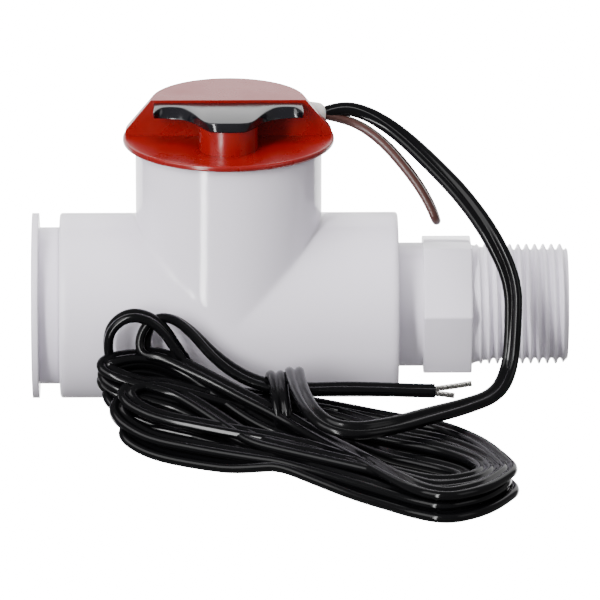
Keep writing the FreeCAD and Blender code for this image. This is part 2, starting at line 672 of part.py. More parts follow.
def reed_contacts():
    """Two flat reeds that overlap in the glass, each one with its lead bent down to the board."""
    lead, reach = amount("Sizes.reed_lead"), amount("Sizes.reed_lead_reach")
    width, thick = amount("Sizes.reed_width"), amount("Sizes.reed_thickness")
    lap, gap = amount("Sizes.reed_lap"), amount("Sizes.reed_gap")
    drop, bend = amount("Sizes.reed_radius"), 3 * lead
    inside = amount("Sizes.reed_length / 2 - 4 * Sizes.reed_wall")
    slant = bend * math.sqrt(0.5)
    contacts = []
    for way in (1, -1):
        start = FreeCAD.Vector(way * (inside - lap), 0, 0)
        corner = FreeCAD.Vector(way * (reach - bend), 0, 0)
        crown = corner + FreeCAD.Vector(way * slant, 0, slant - bend)
        side = corner + FreeCAD.Vector(way * bend, 0, -bend)
        foot = FreeCAD.Vector(side.x, 0, -drop)
        edges = [
            Part.LineSegment(start, corner), Part.Arc(corner, crown, side), Part.LineSegment(side, foot)
        ]
        path = Part.Wire([edge.toShape() for edge in edges])
        ring = Part.Wire(Part.Circle(start, FreeCAD.Vector(1, 0, 0), lead).toShape())
        wire = path.makePipeShell([ring], True, False)
        near = -lap if way > 0 else lap - inside
        low = gap / 2 if way > 0 else -gap / 2 - thick
        reed = Part.makeBox(inside, width, thick, FreeCAD.Vector(near, -width / 2, low))
        contacts.append(wire.fuse(reed))
    feature(
        "reed_contacts",
        Part.makeCompound(contacts),
        rise=f"{RUN_HEIGHT} + {BOARD_TOP} + Sizes.reed_radius",
        across="Sizes.reed_offset",
    )


def splice_sleeves():
    """Shrink sleeves where the lead's conductors join the board's tails."""
    radius, length = amount("Sizes.sleeve_radius"), amount("Sizes.sleeve_length")
    pitch = amount("Sizes.sleeve_pitch")
    sleeves = [
        Part.makeCylinder(
            radius, length, FreeCAD.Vector(-length / 2, way * pitch / 2, 0), FreeCAD.Vector(1, 0, 0)
        )
        for way in (1, -1)
    ]
    feature(
        "splice_sleeves",
        Part.makeCompound(sleeves),
        rise=f"{RUN_HEIGHT} + {BOARD_TOP} + Sizes.sleeve_radius",
        across="-Sizes.sleeve_offset",
    )


def potting():
    """Resin that fills the chamber over the board."""
    body = new_body("potting")
    under = f"({BOARD_TOP} + 2 * Sizes.reed_radius + Sizes.fit_gap)"
    top = f"({CHAMBER_TOP} - Sizes.fit_gap)"
    wide = f"({CHAMBER_RADIUS} - Sizes.fit_gap)"
    fill = outline(body, "XZ", [("0", under), (wide, under), (wide, top), ("0", top)])
    turn(body, "Revolution", fill, "V_Axis")


# ---------------------------------------------------------------- paddle


def paddle_arm():
    """Knuckle on the pin, magnet horn above it and a flat arm down to the blade."""
    body = new_body("paddle_arm")
    knuckle = circle(body, "XZ", "0", PIVOT, "Sizes.knuckle_radius")
    pull(body, "Pad", knuckle, "2 * Sizes.knuckle_half", symmetric=True)
    half = "Sizes.arm_thickness / 2"
    low = f"({PIVOT} - Sizes.arm_drop)"
    strip = outline(body, "XZ", [(f"-{half}", low), (half, low), (half, PIVOT), (f"-{half}", PIVOT)])
    pull(body, "Pad", strip, "2 * Sizes.arm_half", symmetric=True)
    room = f"({PIVOT} - Sizes.knuckle_radius - Sizes.spring_wire)"
    room_half = "(Sizes.knuckle_radius + 1)"
    recess = outline(
        body,
        "XZ",
        [(f"-{room_half}", room), (room_half, room),
         (room_half, f"{PIVOT} + Sizes.knuckle_radius + {CUT}"),
         (f"-{room_half}", f"{PIVOT} + Sizes.knuckle_radius + {CUT}")],
    )
    recess.setExpression("AttachmentOffset.Base.z", "Sizes.knuckle_half - Sizes.spring_room")
    pull(body, "Pocket", recess, f"Sizes.spring_room + {CUT}", back=True)
    horn = outline(
        body,
        "XZ",
        [("-Sizes.horn_half", PIVOT), ("Sizes.horn_half", PIVOT),
         ("Sizes.horn_half", f"{PIVOT} + Sizes.horn_rise"),
         ("-Sizes.horn_half", f"{PIVOT} + Sizes.horn_rise")],
    )
    horn.setExpression("AttachmentOffset.Base.z", "-Sizes.horn_shift")
    pull(body, "Pad", horn, "2 * Sizes.horn_half", symmetric=True)
    bore = circle(body, "XZ", "0", PIVOT, "Sizes.pin_radius + Sizes.pin_clearance")
    pull(body, "Pocket", bore, f"2 * Sizes.knuckle_half + {CUT}", symmetric=True)
    pocket = circle(body, "XY", "0", "Sizes.horn_shift", "Sizes.magnet_radius + Sizes.fit_gap")
    pocket.setExpression(
        "AttachmentOffset.Base.z", f"{PIVOT} + Sizes.horn_rise - Sizes.magnet_height"
    )
    pull(body, "Pocket", pocket, f"Sizes.magnet_height + {CUT}", back=True)
    for drop in ("Sizes.rivet_drop", "Sizes.rivet_drop + Sizes.rivet_pitch"):
        hole = circle(body, "YZ", "0", f"{PIVOT} - ({drop})", "Sizes.rivet_radius + Sizes.fit_gap")
        pull(body, "Pocket", hole, "2 * Sizes.arm_thickness", symmetric=True)


def magnet():
    """Disc magnet flush with the top of the horn."""
    body = new_body("magnet")
    disc = circle(body, "XY", "0", "Sizes.horn_shift", "Sizes.magnet_radius")
    disc.setExpression(
        "AttachmentOffset.Base.z", f"{PIVOT} + Sizes.horn_rise - Sizes.magnet_height"
    )
    pull(body, "Pad", disc, "Sizes.magnet_height")


def paddle_blade():
    """Thin blade across the flow, with a round lower end, riveted to the arm's inlet side."""
    body = new_body("paddle_blade")
    top, middle = f"({PIVOT} - Sizes.blade_top_drop)", f"({PIVOT} - Sizes.blade_centre_drop)"
    side, inner = "Sizes.blade_half", "(Sizes.blade_half - Sizes.blade_corner)"
    face = outline(
        body,
        "YZ",
        [(f"-{side}", middle), (side, middle), (side, f"{top} - Sizes.blade_corner"),
         (inner, top), (f"-{inner}", top), (f"-{side}", f"{top} - Sizes.blade_corner")],
    )
    end = circle(body, "YZ", "0", middle, "Sizes.blade_half")
    back = "-(Sizes.arm_thickness / 2 + Sizes.blade_thickness)"
    for sketch in (face, end):
        sketch.setExpression("AttachmentOffset.Base.z", back)
        pull(body, "Pad", sketch, "Sizes.blade_thickness")
    for drop in ("Sizes.rivet_drop", "Sizes.rivet_drop + Sizes.rivet_pitch"):
        hole = circle(body, "YZ", "0", f"{PIVOT} - ({drop})", "Sizes.rivet_radius + Sizes.fit_gap")
        pull(body, "Pocket", hole, "4 * Sizes.arm_thickness", symmetric=True)


def blade_rivets():
    """Two rivets through blade and arm, a flat head on either side."""
    shank, head = amount("Sizes.rivet_radius"), amount("Sizes.rivet_head")
    cap = amount("Sizes.rivet_head_height")
    back = amount("-(Sizes.arm_thickness / 2 + Sizes.blade_thickness)")
    front = amount("Sizes.arm_thickness / 2")
    along = FreeCAD.Vector(1, 0, 0)
    rivets = []
    for level in (amount("-Sizes.rivet_drop"), amount("-(Sizes.rivet_drop + Sizes.rivet_pitch)")):
        rivet = Part.makeCylinder(shank, front - back, FreeCAD.Vector(back, 0, level), along)
        rivet = rivet.fuse(
            [Part.makeCylinder(head, cap, FreeCAD.Vector(back - cap, 0, level), along),
             Part.makeCylinder(head, cap, FreeCAD.Vector(front, 0, level), along)]
        )
        rivets.append(rivet)
    feature("blade_rivets", Part.makeCompound(rivets), rise=f"{RUN_HEIGHT} + {PIVOT}")


def return_spring():
    """Torsion spring round the pin: one leg up to the yoke's disc, one down behind the arm."""
    radius, wire = amount("Sizes.spring_coil"), amount("Sizes.spring_wire")
    turns, leg = amount("Sizes.spring_turns"), amount("Sizes.spring_leg")
    pitch = amount("(Sizes.spring_room - 4 * Sizes.spring_wire) / Sizes.spring_turns")
    start = amount("Sizes.knuckle_half - Sizes.spring_room + 2 * Sizes.spring_wire")
    coil = Part.makeHelix(pitch, pitch * turns, radius)
    coil.rotate(FreeCAD.Vector(), FreeCAD.Vector(1, 0, 0), 90)
    coil.translate(FreeCAD.Vector(0, -start, 0))
    first = coil.Edges[0].valueAt(coil.Edges[0].FirstParameter)
    last = coil.Edges[-1].valueAt(coil.Edges[-1].LastParameter)
    down = FreeCAD.Vector(0, 0, -leg)
    up = FreeCAD.Vector(0, 0, amount("Sizes.pivot_drop") - wire - amount("Sizes.fit_gap"))
    path = Part.Wire(
        [Part.makeLine(first + down, first)] + coil.Edges + [Part.makeLine(last, last + up)]
    )
    section = Part.Wire(Part.Circle(first + down, FreeCAD.Vector(0, 0, 1), wire).toShape())
    spring = path.makePipeShell([section], True, True)
    feature("return_spring", spring, rise=f"{RUN_HEIGHT} + {PIVOT}")


# ---------------------------------------------------------------- cords

# The lead from the seal down to the floor, over the hank and once round its waist.
LEAD_RUN = [
    (4.3, 8.5, 63.6), (10.2, 10.4, 61.9), (15.5, 9.9, 60.6), (21.2, 6.8, 57.6), (28.4, 0.0, 52.6),
    (35.8, -8.0, 46.8), (41.8, -15.0, 39.6), (45.6, -20.0, 31.4), (46.4, -23.8, 22.8),
    (44.6, -27.5, 15.4), (40.2, -32.4, 10.7), (34.0, -39.4, 9.0), (27.0, -48.6, 9.2),
    (19.6, -56.8, 9.5), (12.0, -60.2, 9.6), (5.6, -58.0, 10.6), (1.4, -51.6, 12.4),
    (-1.4, -43.0, 13.6), (-3.2, -34.8, 14.8), (-3.9, -26.6, 14.3), (-4.0, -23.4, 9.8),
    (-3.8, -25.2, 4.6),
]

# One turn of the hank that stands up at its left end.
LOOSE_LOOP = [
    (-41.6, -28.6, 14.6), (-42.3, -27.5, 19.6), (-41.6, -27.3, 24.8), (-36.8, -27.3, 28.0),
    (-30.6, -27.3, 25.6), (-25.4, -27.6, 20.0), (-20.9, -28.2, 14.2), (-17.4, -29.6, 9.8),
]

# The last turn of the hank, which then runs under the wrap to the bare ends.
LEAD_TAIL = [
    (-35.0, -26.4, 13.6), (-34.8, -24.6, 18.4), (-33.2, -24.0, 23.4), (-28.8, -24.0, 26.1),
    (-23.8, -24.2, 23.9), (-18.6, -24.8, 17.8), (-13.0, -26.4, 13.0), (-6.8, -28.2, 10.8),
    (0.4, -29.2, 10.8), (8.4, -30.2, 11.6), (16.8, -30.0, 11.0), (23.6, -30.2, 10.6),
    (28.7, -30.0, 10.4),
]

# The single wire that leaves the seal under the lead, folds and comes back behind itself.
JUMPER_LOOP = [
    (4.9, 7.6, 61.1), (9.2, 8.4, 60.0), (13.6, 7.8, 58.3), (18.2, 4.9, 55.4), (22.3, 1.8, 51.4),
    (25.8, -0.6, 47.2), (28.1, -2.0, 43.4), (29.5, -2.9, 40.2), (29.8, 0.8, 39.0),
    (28.6, 1.8, 42.2), (26.3, 3.2, 46.2), (22.8, 5.6, 50.6), (18.6, 8.4, 54.6),
    (14.0, 10.8, 57.5), (9.4, 11.6, 59.2), (4.2, 9.5, 61.1),
]

# Sections across the hank from left to right: the middle of its front edge, low on the floor,
# and of its back edge, which leans up towards the tee at the left.
HANK_SECTIONS = [
    (-47.5, (-37.0, 9.0), (-30.0, 14.6)),
    (-43.0, (-41.0, 5.0), (-27.6, 14.6)),
    (-33.0, (-44.0, 3.0), (-26.6, 14.2)),
    (-21.0, (-50.0, 3.0), (-26.6, 9.6)),
    (-4.0, (-57.0, 3.0), (-27.6, 4.4)),
    (12.0, (-70.0, 3.0), (-28.0, 3.2)),
    (28.0, (-84.0, 3.0), (-31.0, 3.0)),
    (38.0, (-82.0, 3.0), (-40.0, 3.0)),
    (45.0, (-72.0, 3.0), (-52.0, 3.0)),
]
CORNER_SHARE = 0.45


def cord_path(points, name):
    """Straight runs through a route, joined by arcs as large as the shorter run allows."""
    stops = [FreeCAD.Vector(*point) for point in points]
    edges, radii = [], []
    start = stops[0]
    for before, corner, after in zip(stops, stops[1:], stops[2:]):
        back = (before - corner).normalize()
        ahead = (after - corner).normalize()
        half_turn = (math.pi - back.getAngle(ahead)) / 2
        reach = CORNER_SHARE * min(before.distanceToPoint(corner), corner.distanceToPoint(after))
        radius = reach / math.tan(half_turn)
        inward = (back + ahead).normalize() * (radius / math.cos(half_turn) - radius)
        edges.append(Part.LineSegment(start, corner + back * reach))
        edges.append(Part.Arc(corner + back * reach, corner + inward, corner + ahead * reach))
        start = corner + ahead * reach
        radii.append(round(radius, 1))
    edges.append(Part.LineSegment(start, stops[-1]))
    path = Part.Wire([edge.toShape() for edge in edges])
    print(name, "length", round(path.Length, 1), "radii", radii)
    return path


def cord(name, points, radius):
    """A round tube along a route."""
    path = cord_path(points, name)
    first, second = FreeCAD.Vector(*points[0]), FreeCAD.Vector(*points[1])
    section = Part.Wire(Part.Circle(first, second - first, radius).toShape())
    tube = path.makePipeShell([section], True, False)
    print(name, "volume over section times length",
          round(tube.Volume / (math.pi * radius ** 2 * path.Length), 4))
    feature(name, tube, rise="0", along="0")


def lead_hank():
    """The coiled lead as one flat bundle: a loft through rounded sections."""
    thick = amount("Sizes.hank_thickness") / 2
    sections = []
    for along, front, back in HANK_SECTIONS:
        low, high = FreeCAD.Vector(along, *front), FreeCAD.Vector(along, *back)
        ahead = (high - low).normalize()
        up = FreeCAD.Vector(1, 0, 0).cross(ahead) * thick
        edges = [
            Part.LineSegment(low + up, high + up),
            Part.Arc(high + up, high + ahead * thick, high - up),
            Part.LineSegment(high - up, low - up),
            Part.Arc(low - up, low - ahead * thick, low + up),
        ]
        sections.append(Part.Wire([edge.toShape() for edge in edges]))
    feature("lead_hank", Part.makeLoft(sections, True, True), rise="0", along="0")


def wire_ends():
    """The lead's two bare tinned ends, side by side on the end of the tail."""
    radius, length = amount("Sizes.wire_end_radius"), amount("Sizes.wire_end_length")
    end, before = FreeCAD.Vector(*LEAD_TAIL[-1]), FreeCAD.Vector(*LEAD_TAIL[-2])
    ahead = (end - before).normalize()
    side = ahead.cross(FreeCAD.Vector(0, 0, 1)).normalize() * (radius * 1.4)
    ends = [
        Part.makeCylinder(radius, length, end + side, ahead),
        Part.makeCylinder(radius, length * 1.8, end - side, ahead),
    ]
    feature("wire_ends", Part.makeCompound(ends), rise="0", along="0")


# ---------------------------------------------------------------- build and write

for build in (
    tee_body,
    inlet_bushing,
    outlet_reducer,
    outlet_adapter,
    plug_shell,
    switch_cap,
    grip_plate,
    cable_seal,
    paddle_yoke,
    pivot_pin,
    pin_clips,
    circuit_board,
    reed_glass,
    reed_contacts,
    splice_sleeves,
    potting,
    paddle_arm,
    magnet,
    paddle_blade,
    blade_rivets,
    return_spring,
):
    build()
sealing_ring("upper_ring", UPPER_RING)
sealing_ring("lower_ring", LOWER_RING)
lead_hank()
cord("lead_run", LEAD_RUN, amount("Sizes.lead_radius"))
cord("loose_loop", LOOSE_LOOP, amount("Sizes.lead_radius"))
cord("lead_tail", LEAD_TAIL, amount("Sizes.lead_radius"))
cord("jumper_loop", JUMPER_LOOP, amount("Sizes.jumper_radius"))
wire_ends()

doc.recompute()
for item in doc.Objects:
    if "Invalid" in item.State or "Error" in item.State:
        raise RuntimeError(f"{item.Name}: {item.State}")
for part in subparts:
    if part.Shape.isNull() or not part.Shape.isValid():
        raise RuntimeError(f"{part.Label} has no valid shape")
os.makedirs("parts", exist_ok=True)
for part in subparts:
    part.Shape.exportStep(f"parts/{part.Label}.step")
    print(part.Label, round(part.Shape.Volume, 2))
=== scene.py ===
"""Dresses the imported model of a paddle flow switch: finishes, outlet, grip, seal and lead."""

import math

import bpy
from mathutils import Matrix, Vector


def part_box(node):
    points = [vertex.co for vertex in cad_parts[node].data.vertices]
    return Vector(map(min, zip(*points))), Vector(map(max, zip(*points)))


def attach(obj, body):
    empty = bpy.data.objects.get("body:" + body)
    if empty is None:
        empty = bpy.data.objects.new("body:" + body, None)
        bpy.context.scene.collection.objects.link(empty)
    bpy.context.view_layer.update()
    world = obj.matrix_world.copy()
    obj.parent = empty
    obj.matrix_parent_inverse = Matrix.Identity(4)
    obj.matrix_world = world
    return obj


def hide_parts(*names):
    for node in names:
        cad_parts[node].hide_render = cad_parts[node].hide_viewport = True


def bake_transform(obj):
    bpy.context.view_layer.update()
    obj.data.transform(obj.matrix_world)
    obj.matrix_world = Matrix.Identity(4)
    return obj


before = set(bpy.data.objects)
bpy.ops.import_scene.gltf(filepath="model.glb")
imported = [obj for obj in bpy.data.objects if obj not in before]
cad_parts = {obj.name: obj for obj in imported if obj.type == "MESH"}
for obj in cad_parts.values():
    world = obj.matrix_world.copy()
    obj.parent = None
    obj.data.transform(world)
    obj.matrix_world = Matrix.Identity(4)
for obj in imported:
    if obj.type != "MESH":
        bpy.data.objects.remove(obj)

bl_info = {
    "name": "Paddle flow switch",
    "version": (1, 0, 0),
    "blender": (4, 5, 0),
    "location": "View3D > Sidebar > Flow switch",
    "description": "Builds the pieces, finishes and studio of a paddle flow switch",
    "category": "Object",
}

# -------------------- routes, in metres

# The routes lie near the middle lines of the model's tubes. The lead leaves the seal, hangs to
# the floor and climbs over the hank, round its waist.
LEAD_RUN = [
    (0.0040, 0.0084, 0.0606), (0.0086, 0.0100, 0.0622), (0.0145, 0.0099, 0.0610),
    (0.0212, 0.0068, 0.0576), (0.0284, 0.0000, 0.0526), (0.0358, -0.0080, 0.0468),
    (0.0418, -0.0150, 0.0396), (0.0458, -0.0196, 0.0314), (0.0457, -0.0232, 0.0228),
    (0.0450, -0.0262, 0.0142), (0.0420, -0.0318, 0.0100), (0.0346, -0.0384, 0.0096),
    (0.0270, -0.0452, 0.0100), (0.0196, -0.0524, 0.0103), (0.0120, -0.0566, 0.0104),
    (0.0058, -0.0554, 0.0110), (0.0022, -0.0506, 0.0124), (0.0000, -0.0430, 0.0136),
    (-0.0012, -0.0348, 0.0146), (-0.0016, -0.0266, 0.0146), (-0.0016, -0.0234, 0.0098),
]

# Which way the flat lead faces at some of the run's points, where it hangs or leans.
RUN_FACES = {
    0: (0.0, 0.0, 1.0), 5: (0.1, -0.9, 0.5), 7: (-0.5, -0.85, 0.3), 8: (-0.85, -0.5, 0.1),
    10: (-0.5, -0.7, 0.5), 12: (0.0, -0.75, 0.65), 14: (0.0, -0.7, 0.7),
}

# The wrap goes on under the back lanes, up between the lanes and over the back once more.
SECOND_WRAP = [
    (-0.0014, -0.0236, 0.0040), (-0.0016, -0.0260, 0.0014), (-0.0022, -0.0330, 0.0011),
    (-0.0030, -0.0385, 0.0022), (-0.0038, -0.0410, 0.0060), (-0.0044, -0.0400, 0.0105),
    (-0.0050, -0.0340, 0.0134), (-0.0055, -0.0285, 0.0141), (-0.0059, -0.0244, 0.0114),
    (-0.0064, -0.0236, 0.0076),
]

# The last lane of the hank, behind the others, up to the first standing loop.
BACK_LANE = [
    (-0.0045, -0.0278, 0.0046), (-0.0090, -0.0268, 0.0042), (-0.0150, -0.0242, 0.0056),
    (-0.0230, -0.0232, 0.0080), (-0.0310, -0.0236, 0.0100), (-0.0370, -0.0242, 0.0108),
]

# One turn of the hank that stands up at its left end.
LOOSE_LOOP = [
    (-0.0406, -0.0250, 0.0142), (-0.0418, -0.0256, 0.0190), (-0.0410, -0.0264, 0.0242),
    (-0.0364, -0.0268, 0.0273), (-0.0304, -0.0268, 0.0250), (-0.0260, -0.0266, 0.0176),
    (-0.0219, -0.0260, 0.0116), (-0.0168, -0.0260, 0.0088), (-0.0110, -0.0272, 0.0086),
]

# The last turn of the hank, which then runs under the wrap to the bare ends.
LEAD_TAIL = [
    (-0.0338, -0.0262, 0.0176), (-0.0342, -0.0246, 0.0206), (-0.0326, -0.0240, 0.0242),
    (-0.0286, -0.0240, 0.0256), (-0.0240, -0.0242, 0.0226), (-0.0190, -0.0248, 0.0168),
    (-0.0132, -0.0266, 0.0128), (-0.0068, -0.0286, 0.0110), (0.0004, -0.0296, 0.0106),
    (0.0084, -0.0304, 0.0112), (0.0168, -0.0302, 0.0109), (0.0236, -0.0302, 0.0106),
    (0.0287, -0.0300, 0.0104),
]

# The single wire that leaves the seal under the lead, folds and comes back behind itself.
JUMPER_LOOP = [
    (0.0049, 0.0076, 0.0611), (0.0092, 0.0084, 0.0600), (0.0136, 0.0078, 0.0583),
    (0.0182, 0.0049, 0.0554), (0.0223, 0.0018, 0.0514), (0.0258, -0.0006, 0.0472),
    (0.0281, -0.0020, 0.0434), (0.0295, -0.0029, 0.0402), (0.0298, 0.0008, 0.0390),
    (0.0286, 0.0018, 0.0422), (0.0263, 0.0032, 0.0462), (0.0228, 0.0056, 0.0506),
    (0.0186, 0.0084, 0.0546), (0.0140, 0.0108, 0.0575), (0.0094, 0.0116, 0.0592),
    (0.0042, 0.0095, 0.0611),
]

# The middles of the hank's front and back edges at places along it, left to right.
HANK_SECTIONS = [
    (-0.0475, (-0.0370, 0.0100), (-0.0290, 0.0160)),
    (-0.0430, (-0.0410, 0.0050), (-0.0262, 0.0162)),
    (-0.0330, (-0.0440, 0.0030), (-0.0256, 0.0152)),
    (-0.0210, (-0.0500, 0.0030), (-0.0260, 0.0108)),
    (-0.0040, (-0.0570, 0.0030), (-0.0272, 0.0050)),
    (0.0120, (-0.0700, 0.0030), (-0.0276, 0.0034)),
    (0.0280, (-0.0840, 0.0030), (-0.0300, 0.0030)),
    (0.0380, (-0.0824, 0.0030), (-0.0400, 0.0030)),
    (0.0450, (-0.0735, 0.0030), (-0.0600, 0.0030)),
]

# How the hank's strands run. Each row is the end of a turn: the place along the hank that it
# reaches, the lanes across the waist that it comes from and goes to (0 at the back, 7 at the
# front), where its tip lies across the hank as a share, the half width of its bight there as a
# share, and the height of its strands over the hank's middle.
WAIST = -0.0045
LAST_LANE = 7.0
HANK_TURNS = [
    (-0.0424, 0.0, 3.0, 0.20, 0.22, -0.0019),
    (0.0336, 3.0, 1.0, 0.58, 0.16, -0.0019),
    (-0.0412, 1.0, 5.0, 0.38, 0.26, -0.0019),
    (0.0372, 5.0, 2.0, 0.60, 0.26, -0.0019),
    (-0.0396, 2.0, 6.0, 0.58, 0.26, -0.0019),
    (0.0398, 6.0, 4.0, 0.54, 0.36, -0.0019),
    (-0.0376, 4.0, 7.0, 0.84, 0.18, -0.0019),
    (0.0440, 7.0, 2.5, 0.60, 0.42, -0.0019),
    (-0.0422, 2.5, 5.5, 0.18, 0.24, 0.0001),
    (0.0350, 5.5, 0.5, 0.62, 0.12, 0.0001),
    (-0.0396, 0.5, 6.5, 0.62, 0.28, 0.0001),
    (0.0424, 6.5, 3.5, 0.60, 0.38, 0.0001),
    (-0.0424, 3.5, 6.0, 0.14, 0.18, 0.0022),
    (0.0386, 6.0, 2.0, 0.62, 0.22, 0.0022),
    (-0.0378, 2.0, 5.0, 0.48, 0.22, 0.0022),
    (0.0408, 5.0, 0.0, 0.60, 0.30, 0.0022),
]
# The half turn between the two standing loops, on top of the others, and the way from it to the
# second loop's foot: places along the hank, shares across it and heights.
LAST_TURN = (0.0436, 0.0, 3.4, 0.58, 0.42, 0.0026)
LAST_LANE_POINTS = [
    (-0.0045, 0.40, 0.0040), (-0.0130, 0.26, 0.0044), (-0.0220, 0.10, 0.0046),
    (-0.0300, -0.02, 0.0044),
]
# How far along a half turn its points lie, and where its bight starts to close.
TURN_PARTS = (0.0, 0.16, 0.32, 0.47, 0.60, 0.71, 0.81, 0.89, 0.96)
BIGHT_START = 0.66

# How soon a strand leaves the waist's height, and the least height of the waist over the middle.
RISE_PART = 0.3
LEAST_WAIST = 0.0003

# Points on the smooth line from one control point to the next, how many of them a twist of the
# flat lead is spread over, each way, and how many times it is smoothed.
SPLINE_STEPS = 6
TWIST_REACH = 5
SMOOTHINGS = 3

# The oval that the wraps make round the waist: its middle, its half sizes and its ends in Y.
WRAP_MIDDLE = (-0.004, -0.033, 0.0075)
WRAP_HALF = (0.0075, 0.0105, 0.0075)
WRAP_ENDS = (-0.046, -0.021)
# Where the lead lies flat: in front of this, below this and no steeper than this.
LYING_FRONT, LYING_HEIGHT, LYING_SLOPE = -0.0225, 0.0185, 0.55
LYING_SIDE = (0, -0.15, 1)
# A wanted side counts when at least this much of it is square to the lead.
LEAST_SQUARE = 0.3

JUMPER_STEPS = 10
# The two stripped ends. Six strands lie round one, at this share of a strand's width from it, and
# go once round in this length.
BARE_ENDS = [
    [(0.0276, -0.0290, 0.0104), (0.0325, -0.0288, 0.0109), (0.0366, -0.0286, 0.0116)],
    [(0.0276, -0.0311, 0.0103), (0.0306, -0.0312, 0.0101), (0.0328, -0.0312, 0.0097)],
]
STRANDS_ROUND = 6
STRAND_SPACE = 0.97
STRAND_LAY = 0.006
STRAND_SIDES = 8
STRAND_STEPS = 16

# -------------------- outlet sizes

# Facets round everything that is turned, and how far joined bars and cutting tools reach past.
TURN_STEPS = 96
OVERLAP = 0.0005
CUT_PAST = 0.001
NECK_RADIUS = 0.0135
NECK_EDGE = 0.0004
NECK_IN_HEX = 0.002
HEX_ACROSS = 0.0275
HEX_LENGTH = 0.0106
HEX_TURN = math.radians(-7)
HEX_EDGE = 0.0003
THREAD_RADIUS = 0.0131
THREAD_LENGTH = 0.0210
THREAD_BEVEL = 0.0012
# The thread is drawn from this many turns before its start and this many more past its end.
TURNS_BEFORE = 1.5
TURNS_SPARE = 3
RUN_OUT_TURNS = 3
# One turn of the thread from root to root: shares of the pitch and of the depth.
THREAD_FORM = (
    (0.08, 0.0), (0.24, 0.40), (0.36, 0.86), (0.45, 1.0), (0.55, 1.0), (0.64, 0.86),
    (0.76, 0.40), (0.92, 0.0), (1.0, 0.0),
)
OUTLET_BORE = 0.0098
BORE_FLARES = (0.0014, 0.0015)

# Corners nearer than these are one, in a new mesh and in the tools that cut one.
DOUBLES_WITHIN = 1e-6
MERGE_WITHIN = 1e-7

# -------------------- grip, seal and spring sizes

# Half of the grip's front, from its middle out: how far across, and the reach of its upper and
# of its lower edge.
GRIP_WAVE = [
    (0.0000, 0.0157, 0.0160), (0.0036, 0.0157, 0.0158), (0.0054, 0.0143, 0.0132),
    (0.0074, 0.0082, 0.0088), (0.0098, 0.0036, 0.0062), (0.0128, 0.0030, 0.0052),
    (0.0153, 0.0040, 0.0050), (0.0162, 0.0082, 0.0050),
]
GRIP_STEPS = 6
GRIP_ROUND = 0.0006

# The seal's axis, from the cap outwards, and its radius at each end.
SEAL_AXIS = ((-0.0022, 0.0066, 0.0612), (0.0054, 0.0088, 0.0609))
SEAL_RADII = (0.0038, 0.0024)
SEAL_ROUND = 0.0012

# -------------------- stage sizes

FLOOR_SIZE = 12.0
FLOOR_DROP = 0.0001
ROOM_RADIUS = 8.0
PAPER_GLOW = 16.0
ROOM_LIGHT = 0.3
LAMP_TARGET = (0.0, 0.0, 0.03)
# Each lamp: its name, its bearing from the front, how far off and how high its middle is, its
# width and height, and its brightness.
PANELS = [
    ("Backdrop_panel", 180, 1.0, 0.55, 2.0, 1.0, 2.0),
    ("Backdrop_foot", 180, 1.0, -0.25, 2.0, 0.6, 4.0),
    ("Left_strip", -31, 1.1, 0.17, 0.13, 1.45, 44.0),
    ("Left_panel", -55, 1.3, 0.9, 1.1, 1.1, 5.0),
    ("Right_panel", 60, 1.3, 0.8, 0.7, 0.9, 1.4),
    ("Front_panel", 5, 1.5, 0.95, 1.2, 0.8, 2.2),
    ("Top_panel", 180, 0.1, 1.4, 0.9, 0.7, 9.0),
]
# Lamps that light the surfaces but don't show in their shine.
SHINE_FREE = ("Top_panel", "Front_panel")
CAMERA_LENS = 495.0
CAMERA_SHIFT = 0.0075
CAMERA_TURN = -0.64
CAMERA_TILT = 18.2
CAMERA_DISTANCE = 1.8
CAMERA_TARGET = (0.0, 0.0, 0.0202)


# -------------------- sizes and colours


def colour_field(name, text, code):
    """A colour picker whose default is an sRGB hex value."""
    return bpy.props.FloatVectorProperty(
        name=name, description=text, default=linear(code)[:3], subtype="COLOR", size=3, min=0, max=1
    )


def length_field(name, text, size):
    """A length in metres."""
    return bpy.props.FloatProperty(
        name=name, description=text, default=size, unit="LENGTH", subtype="DISTANCE", min=0
    )


def linear(code):
    """Turns an sRGB hex value into the linear colour that the shaders take."""
    shares = [int(code[at:at + 2], 16) / 255 for at in (1, 3, 5)]
    return (*[s / 12.92 if s <= 0.04045 else ((s + 0.055) / 1.055) ** 2.4 for s in shares], 1.0)


class FlowSwitchSizes(bpy.types.PropertyGroup):
    """Sizes that a user would change."""

    lead_width: length_field("Lead width", "Across both cores of the flat lead", 0.0042)
    lead_thickness: length_field("Lead thickness", "Across one core of the flat lead", 0.0021)
    jumper_width: length_field("Jumper width", "Outside diameter of the single wire", 0.0019)
    thread_pitch: length_field("Thread pitch", "From crest to crest of the thread", 0.001814)
    thread_depth: length_field("Thread depth", "From crest to root of the thread", 0.0012)
    strand_width: length_field("Strand width", "Diameter of one tinned strand", 0.00042)


class FlowSwitchColours(bpy.types.PropertyGroup):
    """Colours that a user would change."""

    fitting: colour_field("Fittings", "White PVC of the tee and its fittings", "#E5E0EB")
    cap: colour_field("Cap", "Red plastic of the cap", "#7C0704")
    grip: colour_field("Grip", "Black plastic of the grip", "#0D0D12")
    lead: colour_field("Lead", "Black jacket of the lead", "#060607")
    jumper: colour_field("Jumper", "Brown insulation of the single wire", "#4A2D28")
    seal: colour_field("Seal", "Pale seal round the wires", "#E6E3DE")
    paddle: colour_field("Paddle", "Plastic of the paddle", "#8C9094")


# -------------------- helpers


def link(made):
    """Puts a new object in the scene's collection."""
    bpy.context.scene.collection.objects.link(made)
    return made


def select_none():
    """Ends edit mode and deselects everything."""
    if bpy.context.object and bpy.context.object.mode != "OBJECT":
        bpy.ops.object.mode_set(mode="OBJECT")
    bpy.ops.object.select_all(action="DESELECT")


